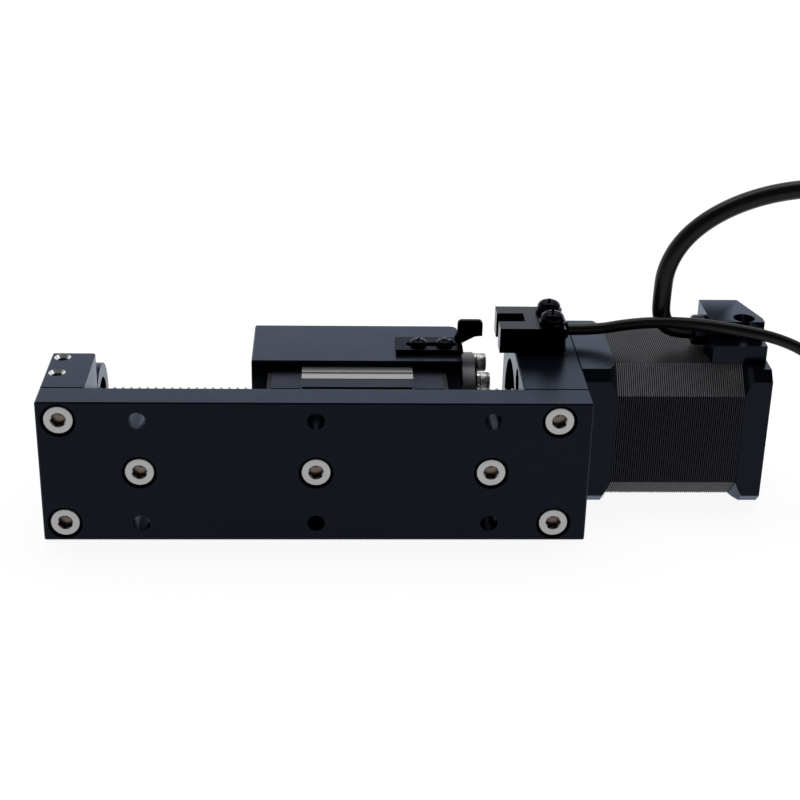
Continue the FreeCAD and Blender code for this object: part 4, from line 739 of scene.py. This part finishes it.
def ball_screw_piece():
    """Rolled thread on a shaft whose stepped journals follow the CAD's."""
    around, lead = 64, 2.0
    start, end = 8.0, 116.0
    flat = 0.5
    thread = grown("thread", ROLLED_THREAD, {
        "Radius": 5.0, "Length": end - start - 2 * flat, "Lead": lead, "Groove width": 1.55,
        "Groove depth": 0.5, "Around": around, "Along": 640, "Finish": FINISHES["thread_steel"]})
    bm = bmesh.new()
    bm.from_mesh(thread)
    bmesh.ops.translate(bm, verts=bm.verts, vec=(start + flat, AXIS_Y, AXIS_Z))

    def journal(corners):
        rings = []
        for x, radius in corners:
            rings.append([Vector((x, AXIS_Y + radius * math.cos(FULL_TURN * k / around),
                                  AXIS_Z + radius * math.sin(FULL_TURN * k / around)))
                          for k in range(around)])
        return rings
    _, high = span("ball_screw")
    skin(bm, journal([(1.0, 1.0), (1.0, 2.5), (1.5, 3.0), (2.12, 3.0), (2.12, 2.75), (2.98, 2.75),
                      (2.98, 3.0), (start, 3.0), (start, 4.5), (start + flat, 5.0)]), cap_end=False)
    skin(bm, journal([(end - flat, 5.0), (end, 4.5), (end, 4.0), (126.5, 4.0), (126.5, 3.0),
                      (161.85, 3.0), (161.85, 2.5), (high.x, 2.5), (high.x, 1.0)]), cap_start=False)
    mesh = mesh_of(bm, "ball_screw_shaft", 40)
    mesh.materials.clear()
    return add_piece("ball_screw_shaft", mesh, "screw", ["ball_screw"], "thread_steel")


ball_screw_piece()

# Motor stack


def cut_square(half, corner):
    short = half - corner
    return [(short, half), (half, short), (half, -short), (short, -half),
            (-short, -half), (-half, -short), (-half, short), (-short, half)]


def pole_outline():
    """Inner edge of a lamination: eight poles with wide tips."""
    points = []
    poles = 8
    root, shoulder, bore = 14.2, 10.2, 9.3
    neck, tip = 1.8, 2.9
    foot = math.sqrt(root ** 2 - neck ** 2)
    neck_angle = math.asin(neck / root)
    for pole in range(poles):
        middle = FULL_TURN * pole / poles

        def spot(radial, sideways):
            return (radial * math.cos(middle) - sideways * math.sin(middle),
                    radial * math.sin(middle) + sideways * math.cos(middle))
        side = [(foot, neck), (shoulder, neck), (shoulder, tip), (bore, tip)]
        points += [spot(radial, -sideways) for radial, sideways in side]
        points += [spot(radial, sideways) for radial, sideways in reversed(side)]
        for share in (0.25, 0.5, 0.75):
            angle = middle + neck_angle + share * (FULL_TURN / poles - 2 * neck_angle)
            points.append((root * math.cos(angle), root * math.sin(angle)))
    return points


def hole_outline(y, z, radius, count=16):
    return [(y + radius * math.cos(FULL_TURN * k / count), z + radius * math.sin(FULL_TURN * k / count))
            for k in range(count)]


def lamination_mesh(thickness, half, corner, rim):
    """One stamped sheet, its outer rim bevelled by rim."""
    outlines = [cut_square(half - rim, corner), pole_outline()]
    for a in (-13, 13):
        for b in (-13, 13):
            outlines.append(hole_outline(a, b, 1.53))
    flat = [point for outline in outlines for point in outline]
    triangles = tessellate_polygon([[Vector((y, z, 0)) for y, z in outline] for outline in outlines])
    bm = bmesh.new()
    for x in (0.0, thickness):
        corners = [bm.verts.new((x, y, z)) for y, z in flat]
        for triangle in triangles:
            bm.faces.new([corners[k] for k in triangle])
    rims = [(0.0, rim), (thickness * 0.3, 0.0), (thickness * 0.7, 0.0), (thickness, rim)]
    skin(bm, [[Vector((x, y, z)) for y, z in cut_square(half - inset, corner)] for x, inset in rims],
         cap_start=False, cap_end=False)
    for outline in outlines[1:]:
        skin(bm, [[Vector((x, y, z)) for y, z in outline] for x in (0.0, thickness)],
             cap_start=False, cap_end=False)
    mesh = mesh_of(bm, "lamination", 20)
    # Only the upward-facing corner faces are marked. They take a painted highlight: bright stripes where
    # light from above catches the bare sheet edges.
    on_corner = mesh.attributes.new("on_corner", "BOOLEAN", "FACE")
    marks = [min(abs(face.normal.y), face.normal.z) > 0.3 and abs(face.center.y) + face.center.z > 26
             for face in mesh.polygons]
    on_corner.data.foreach_set("value", marks)
    return mesh


def motor_stack():
    count, pitch = 61, 0.5
    low, _ = span("motor_stator")
    sheet = new_object("one_lamination", lamination_mesh(0.44, 17.45, 6.0, 0.16))
    mesh = grown("motor_laminations", LAMINATION_STACK, {
        "Lamination": sheet, "Count": count, "Pitch": pitch, "Start": (low.x + 0.03, AXIS_Y, AXIS_Z),
        "Unevenness": 0.0025, "Seed": 12, "Finish": FINISHES["lamination_black"],
        "Corner highlight finish": FINISHES["lamination_edge_highlight"]})
    bpy.data.objects.remove(sheet)
    shade(mesh, 20)
    return add_piece("motor_laminations", mesh, "base", ["motor_stator"])


motor_stack()

# Machined and moulded pieces with broken edges


def copy_of(node):
    """A CAD node's mesh, merged, in millimetres from the plate's corner."""
    bm = bmesh.new()
    bm.from_mesh(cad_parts[node].data)
    bmesh.ops.transform(bm, matrix=TO_FRAME.inverted(), verts=bm.verts)
    bmesh.ops.remove_doubles(bm, verts=bm.verts, dist=2e-3)
    bmesh.ops.dissolve_degenerate(bm, edges=bm.edges, dist=1e-3)
    bmesh.ops.dissolve_limit(bm, angle_limit=math.radians(0.6), verts=bm.verts, edges=bm.edges)
    return bm


def soften(piece, width, segments=2, angle=30):
    """Break every sharp edge of a piece by a small radius."""
    bevel = piece.modifiers.new("edge_break", "BEVEL")
    bevel.width = width * MM
    bevel.segments = segments
    bevel.limit_method = "ANGLE"
    bevel.angle_limit = math.radians(angle)
    bevel.harden_normals = True
    bevel.use_clamp_overlap = True


def broken_edges(name, node, body, finish, width):
    bm = copy_of(node)
    mesh = mesh_of(bm, name, 30)
    mesh.materials.clear()
    piece = add_piece(name, mesh, body, [node], finish)
    soften(piece, width)
    return piece


broken_edges("sensor_housing", "limit_sensor", "base", "sensor_plastic", 0.18)
broken_edges("flag_plate", "sensor_flag", "carriage", "flag_black", 0.12)
broken_edges("cable_outlet", "cable_block", "base", "motor_black", 0.3)
broken_edges("cable_outlet_gland", "cable_gland", "base", "motor_black", 0.3)


def box_mesh(name, boxes):
    """Plain boxes, each given by its low and high corner."""
    bm = bmesh.new()
    for low, high in boxes:
        low, high = Vector(low), Vector(high)
        corners = bmesh.ops.create_cube(bm, size=1)["verts"]
        bmesh.ops.scale(bm, vec=high - low, verts=corners)
        bmesh.ops.translate(bm, vec=(low + high) / 2, verts=corners)
    return mesh_of(bm, name, 30)


def guide_dark_strips():
    """Dark strips along both sides of the guide block, below its ground faces."""
    low, high = span("guide_block")
    boxes = []
    # Dark sheets on the lower sides of the block, and a thin dark line higher up on each side.
    for side in (low.z - 0.12, high.z - 0.2):
        boxes.append(((low.x + 0.05, 12.0, side), (high.x - 0.05, 16.4, side + 0.32)))
        boxes.append(((low.x + 0.05, 19.85, side), (high.x - 0.05, 20.1, side + 0.24)))
    mesh = box_mesh("guide_side_covers", boxes)
    add_piece("guide_side_covers", mesh, "carriage", (), "end_cap_plastic")


def sensor_lens():
    """Lens at the end of the sensor's slot, as tall as the slot's walls."""
    low, high = span("sensor_window")
    top = min(high.z + 1.2, 41.6)
    mesh = box_mesh("sensor_lens", [(low, (high.x, high.y, top))])
    piece = add_piece("sensor_lens", mesh, "base", ["sensor_window"], "red_lens")
    soften(piece, 0.08)


guide_dark_strips()
sensor_lens()


def idle_support_piece():
    """The idle support with its two switch holes tapped and countersunk bright, their tapped walls painted
    dark as shade deep in the holes.
    """
    mesh = mesh_of(copy_of("idle_support"), "idle_support_block", 30)
    mesh.materials.clear()
    mesh.materials.append(FINISHES["black_anodised"])
    cutters = bmesh.new()
    low, high = span("idle_support")
    for y in (16.4, 25.3):
        rings = []
        steps = 40
        for k in range(steps + 1):
            height = high.z - 5.9 + 5.2 * k / steps

            def reach(angle):
                phase = (height / 0.5 - angle / FULL_TURN) % 1
                return 1.22 + 0.26 * abs(2 * phase - 1)
            rings.append(ring(reach, height, 32))
        rings.append(ring(1.27, high.z - 0.68, 32))
        rings.append(ring(1.95, high.z, 32))
        rings.append(ring(1.95, high.z + 1, 32))
        offset = Vector((2.7, y, 0))
        skin(cutters, [[point + offset for point in one] for one in rings])
    cutter_mesh = mesh_of(cutters, "switch_hole_cutters", 30)
    cutter_mesh.materials.append(FINISHES["fresh_cut"])
    cutter_mesh.materials.append(FINISHES["tapped_wall_shade"])
    # Faces below the countersink take the dark tapped-wall finish, a painted shade deep in the hole.
    for face in cutter_mesh.polygons:
        face.material_index = 1 if face.center.z < high.z - 0.7 else 0
    block = new_object("block", mesh)
    tool = new_object("tool", cutter_mesh)
    cut = block.modifiers.new("cut", "BOOLEAN")
    cut.operation = "DIFFERENCE"
    cut.solver = "EXACT"
    cut.material_mode = "TRANSFER"
    cut.object = tool
    bpy.context.view_layer.update()
    graph = bpy.context.evaluated_depsgraph_get()
    result = bpy.data.meshes.new_from_object(block.evaluated_get(graph), depsgraph=graph)
    result.name = "idle_support_block"
    bpy.data.objects.remove(block)
    bpy.data.objects.remove(tool)
    shade(result, 30)
    for face in result.polygons:
        face.use_smooth = face.area < 2
    return add_piece("idle_support_block", result, "base", ["idle_support"])


idle_support_piece()

# Cables

MOTOR_CABLE = 4.4
SENSOR_CABLE = 2.8
CONTROL_REACH = 1 / 0.981  # a spline of order 3 passes this much inside 16 points a turn


def turns(middle, start_angle, turned, shape, per_turn=16):
    """Points of a clockwise coil; shape gives radius and height for an angle turned, in degrees."""
    points = []
    count = round(turned / 360 * per_turn)
    for k in range(count):
        done = (k + 0.5) / count * turned
        radius, height = shape(done)
        angle = math.radians(start_angle - done)
        points.append((middle[0] + radius * CONTROL_REACH * math.cos(angle),
                       middle[1] + radius * CONTROL_REACH * math.sin(angle), height))
    return points


def ease(share):
    share = max(0.0, min(1.0, share))
    return share * share * (3 - 2 * share)


def motor_coil(done):
    """One turn inside the other, flat on the floor."""
    return 26.2 - 4.45 * ease((done - 294) / 52), 2.25


SLOTS = [(2, 0), (1, 0), (0, 0), (0, 1), (0, 2), (1, 2), (1, 1), (2, 1), (2, 2)]


def sensor_coil(done):
    """Nine turns wound three by three; each moves on to the next place after the one before it."""
    pitch = 2.86
    place = Vector(SLOTS[0])
    for k in range(len(SLOTS) - 1):
        move = 340 * (k + 1)
        share = ease((done - move + 22) / 44)
        place = place + share * (Vector(SLOTS[k + 1]) - Vector(SLOTS[k]))
    return 15.4 + pitch * (place.x - 1), 1.45 + pitch * place.y


MOTOR_ROUTE = [
    (153.2, 35.0, 38.9), (148.6, 35.0, 38.9), (145.6, 35.0, 42.0), (145.5, 35.0, 48.2),
    (145.8, 35.0, 54.6), (148.9, 35.0, 61.4), (154.6, 35.1, 67.0), (162.5, 35.3, 71.3),
    (172.0, 35.6, 74.0), (183.5, 36.3, 74.9), (194.0, 38.0, 72.4), (202.5, 40.4, 66.0),
    (208.5, 43.2, 57.0), (212.3, 46.0, 47.0), (215.2, 48.6, 36.8), (218.2, 50.9, 26.8),
    (222.6, 52.8, 17.4), (229.3, 54.2, 9.4), (238.2, 54.9, 4.2), (248.0, 55.3, 2.25),
    (253.0, 55.9, 2.25), (260.0, 56.9, 2.25), (268.0, 57.2, 2.25),
]
MOTOR_TAIL = [
    (251.4, 33.4, 2.25), (253.2, 37.8, 2.25), (256.6, 41.2, 2.3), (261.0, 43.0, 2.5),
    (266.2, 43.0, 2.8), (269.5, 43.0, 2.8),
]
SENSOR_ROUTE = [
    (123.3, 36.3, 38.2), (130.3, 36.3, 38.2), (137.3, 34.2, 40.5), (144.0, 30.8, 42.5),
    (150.2, 27.0, 43.9), (156.3, 23.6, 44.5), (163.0, 21.2, 44.2), (170.4, 20.2, 42.9),
    (178.0, 20.0, 39.6), (184.0, 20.4, 33.8), (187.8, 21.2, 26.6), (190.6, 22.3, 19.2),
    (193.4, 23.6, 12.4), (197.4, 25.0, 7.0), (203.0, 26.2, 3.4), (209.3, 27.2, 1.45),
    (213.0, 28.0, 1.45), (219.0, 29.4, 1.45), (225.1, 29.86, 1.45),
]
SENSOR_TAIL = [
    (225.1, -6.66, 7.17), (220.5, -6.6, 6.7), (215.5, -5.8, 4.8), (211.0, -4.6, 2.9),
    (207.0, -3.9, 2.3), (204.5, -3.8, 2.3),
]


def cable_curve(name, points, diameter):
    curve = bpy.data.curves.new(name, "CURVE")
    curve.dimensions = "3D"
    spline = curve.splines.new("NURBS")
    spline.points.add(len(points) - 1)
    for point, spot in zip(spline.points, points):
        point.co = (*at(*spot), 1)
    spline.order_u = 3
    spline.use_endpoint_u = True
    spline.resolution_u = 8
    curve.bevel_depth = diameter / 2 * MM
    curve.bevel_resolution = 5
    curve.use_fill_caps = True
    curve.materials.append(FINISHES["cable_jacket"])
    return new_object(name, curve)


def plug_piece(name, node, columns, rows, cell):
    """Crimp housing: cavities in its front, a latch on top, ribs at its sides."""
    low, high = span(node)
    bm = bmesh.new()
    edge = 0.35
    size = high - low
    body = bmesh.ops.create_cube(bm, size=1)["verts"]
    bmesh.ops.scale(bm, vec=(size.x - 2 * edge, size.y, size.z - 2 * edge), verts=body)
    bmesh.ops.translate(bm, vec=(low + high) / 2, verts=body)
    front = min(bm.faces, key=lambda face: face.calc_center_median().y)
    # The front is divided into cells, and each cell is cut deeper than its wall
    xs = [low.x + edge + (size.x - 2 * edge) * k / columns for k in range(columns + 1)]
    zs = [low.z + edge + (size.z - 2 * edge) * k / rows for k in range(rows + 1)]
    bm.faces.remove(front)
    for x1, x2 in zip(xs, xs[1:]):
        for z1, z2 in zip(zs, zs[1:]):
            bm.faces.new([bm.verts.new((x, low.y, z)) for x, z in ((x1, z1), (x2, z1), (x2, z2), (x1, z2))])
    bmesh.ops.remove_doubles(bm, verts=bm.verts, dist=1e-4)
    cells = [face for face in bm.faces if abs(face.calc_center_median().y - low.y) < 1e-4]
    bmesh.ops.inset_individual(bm, faces=cells, thickness=cell, depth=0)
    deep = bmesh.ops.extrude_discrete_faces(bm, faces=cells)["faces"]
    for face in deep:
        bmesh.ops.translate(bm, vec=(0, 0.6 * size.y, 0), verts=face.verts)
    middle_x, middle_z, rib_y = (low.x + high.x) / 2, (low.z + high.z) / 2, low.y + 0.6 * size.y
    rib = (edge, 0.6 * size.y, 0.22 * size.z)
    parts = [((middle_x, low.y + 0.55 * size.y, high.z - edge / 2), (0.36 * size.x, 0.5 * size.y, edge)),
             ((low.x + edge / 2, rib_y, middle_z), rib),
             ((high.x - edge / 2, rib_y, middle_z), rib),
             ((middle_x, low.y + 0.75 * size.y, low.z + edge / 2), (0.6 * size.x, 0.2 * size.y, edge))]
    for middle, sizes in parts:
        block = bmesh.ops.create_cube(bm, size=1)["verts"]
        bmesh.ops.scale(bm, vec=sizes, verts=block)
        bmesh.ops.translate(bm, vec=middle, verts=block)
    mesh = mesh_of(bm, name, 30)
    piece = add_piece(name, mesh, "base", [node], "plug_plastic")
    soften(piece, 0.12)
    return piece


def tie_piece(name, middle, angle, reach, half_width, height, band, thickness):
    """Strap round the bundle of turns at one side of a coil, with its ratchet head on top."""
    outward = Vector((math.cos(angle), math.sin(angle), 0))
    along = Vector((-math.sin(angle), math.cos(angle), 0))
    heart = Vector((middle[0], middle[1], 0)) + outward * reach
    corners = 5
    loop = []
    round_off = 1.2
    for side, (u, v) in enumerate(((1, 0), (1, 1), (-1, 1), (-1, 0))):
        for k in range(corners):
            turn = math.pi / 2 * (side + k / (corners - 1)) - math.pi / 2
            loop.append((u * (half_width - round_off) + round_off * math.cos(turn),
                         (height - round_off if v else round_off) + round_off * math.sin(turn)))

    def section(grow, shift):
        middle_height = height / 2
        points = []
        for u, v in loop:
            reach_out = 1 + grow / math.hypot(u, v - middle_height)
            points.append(heart + outward * (u * reach_out) + along * shift
                          + Vector((0, 0, max(0.02, middle_height + (v - middle_height) * reach_out))))
        return points
    bm = bmesh.new()
    rings = [section(0, -band / 2), section(thickness, -band / 2), section(thickness, band / 2),
             section(0, band / 2), section(0, -band / 2)]
    skin(bm, rings, cap_start=False, cap_end=False)
    head = bmesh.ops.create_cube(bm, size=1)["verts"]
    bmesh.ops.scale(bm, vec=(band * 1.5, band * 1.6, 1.8), verts=head)
    bmesh.ops.rotate(bm, matrix=Matrix.Rotation(angle, 3, "Z"), verts=head)
    bmesh.ops.translate(bm, vec=heart + Vector((0, 0, height + 0.8)), verts=head)
    mesh = mesh_of(bm, name, 30)
    piece = add_piece(name, mesh, "base", (), "seal_rubber")
    soften(piece, 0.15)
    return piece


motor_plug = plug_piece("motor_cable_connector", "motor_cable_plug", 3, 2, 0.45)
sensor_plug = plug_piece("sensor_cable_connector", "sensor_cable_plug", 2, 1, 0.5)
MOTOR_COIL_MIDDLE = (273.2, 31.0)
SENSOR_COIL_MIDDLE = (228.7, 11.6)
motor_tie = tie_piece("motor_cable_tie", MOTOR_COIL_MIDDLE, math.radians(-80), 24.0, 4.7, 4.6, 2.4, 0.6)
sensor_tie = tie_piece("sensor_cable_tie", SENSOR_COIL_MIDDLE, math.radians(-30), 15.4, 4.5, 8.8, 2.0,
                       0.5)

motor_turns = turns(MOTOR_COIL_MIDDLE, 90, 630, motor_coil)
motor_cable = cable_curve("motor_cable_line", MOTOR_ROUTE + motor_turns + MOTOR_TAIL, MOTOR_CABLE)
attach(motor_cable, "base")
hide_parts("motor_cable", "motor_cable_coil")

sensor_turns = turns(SENSOR_COIL_MIDDLE, 90, 3060, sensor_coil)
sensor_cable = cable_curve("sensor_cable_line", SENSOR_ROUTE + sensor_turns + SENSOR_TAIL, SENSOR_CABLE)
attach(sensor_cable, "base")
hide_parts("sensor_cable", "sensor_cable_coil")

# Floor and light


def camera_ray(tree):
    return tree.nodes.new("ShaderNodeLightPath").outputs["Is Camera Ray"]


def seen_ray(tree):
    """1 for the eye's rays and for what metal or glass shows of the background."""
    path = tree.nodes.new("ShaderNodeLightPath").outputs
    mirrored = maths(tree, "MAXIMUM", path["Is Glossy Ray"], path["Is Transmission Ray"])
    return maths(tree, "MAXIMUM", path["Is Camera Ray"], mirrored)


def floor_material():
    """White sweep: plain card to the lamps' light, nearly lit out where it is seen or mirrored."""
    material = bpy.data.materials.new("white sweep")
    material.use_nodes = True
    tree = material.node_tree
    tree.nodes.clear()
    out = tree.nodes.new("ShaderNodeOutputMaterial")
    card = tree.nodes.new("ShaderNodeBsdfDiffuse")
    card.inputs["Color"].default_value = (0.85, 0.85, 0.85, 1)
    glow = tree.nodes.new("ShaderNodeEmission")
    glow.inputs["Color"].default_value = (0.92, 0.92, 0.92, 1)
    faint = tree.nodes.new("ShaderNodeBsdfDiffuse")
    faint.inputs["Color"].default_value = (0.14, 0.14, 0.14, 1)
    seen = tree.nodes.new("ShaderNodeAddShader")
    wire(tree, glow.outputs[0], seen.inputs[0])
    wire(tree, faint.outputs[0], seen.inputs[1])
    mix = tree.nodes.new("ShaderNodeMixShader")
    wire(tree, seen_ray(tree), mix.inputs[0])
    wire(tree, card.outputs[0], mix.inputs[1])
    wire(tree, seen.outputs[0], mix.inputs[2])
    wire(tree, mix.outputs[0], out.inputs[0])
    return material


def make_floor():
    bm = bmesh.new()
    reach = 6.0
    corners = ((-reach, -reach), (reach, -reach), (reach, reach), (-reach, reach))
    bm.faces.new([bm.verts.new((x, y, 0)) for x, y in corners])
    mesh = bpy.data.meshes.new("floor")
    bm.to_mesh(mesh)
    bm.free()
    mesh.materials.append(floor_material())
    floor = new_object("floor", mesh)
    floor.location.z = -0.0004


def ramp(tree, value, start, end, low, high):
    node = tree.nodes.new("ShaderNodeMapRange")
    node.interpolation_type = "SMOOTHSTEP"
    wire(tree, value, node.inputs["Value"])
    for label, number in (("From Min", start), ("From Max", end), ("To Min", low), ("To Max", high)):
        node.inputs[label].default_value = number
    return node.outputs["Result"]


def make_world():
    """White behind the object, darker over it and on the camera's side, plain white to the eye."""
    world = bpy.data.worlds.new("studio")
    world.use_nodes = True
    bpy.context.scene.world = world
    tree = world.node_tree
    background = tree.nodes["Background"]
    background.inputs["Color"].default_value = (1, 1, 1, 1)
    direction = tree.nodes.new("ShaderNodeSeparateXYZ")
    wire(tree, tree.nodes.new("ShaderNodeTexCoord").outputs["Generated"], direction.inputs[0])
    backdrop = ramp(tree, direction.outputs[1], -0.2, 0.45, 0.2, 1.0)
    ceiling = ramp(tree, direction.outputs[2], 0.2, 0.8, 1.0, 0.4)
    lit = maths(tree, "MULTIPLY", backdrop, ceiling)
    wire(tree, maths(tree, "MAXIMUM", lit, camera_ray(tree)), background.inputs["Strength"])


def softbox(name, spot, aim, width, height, power):
    data = bpy.data.lights.new(name, "AREA")
    data.shape = "RECTANGLE"
    data.size = width
    data.size_y = height
    data.energy = power
    lamp = new_object(name, data)
    lamp.location = spot
    lamp.rotation_euler = (Vector(aim) - Vector(spot)).to_track_quat("-Z", "Y").to_euler()
    lamp.visible_camera = False


make_floor()
make_world()
softbox("overhead_softbox", (0.0, 0.4, 1.15), (0, 0, 0), 1.2, 0.6, 7.0)
softbox("back_softbox", (-0.05, 1.2, 0.62), (0, 0, 0.03), 1.5, 0.5, 1.0)
softbox("side_softbox", (0.75, 0.17, 0.87), (0.05, 0, 0.03), 0.3, 0.3, 0.5)
bpy.context.scene.view_settings.view_transform = "Standard"
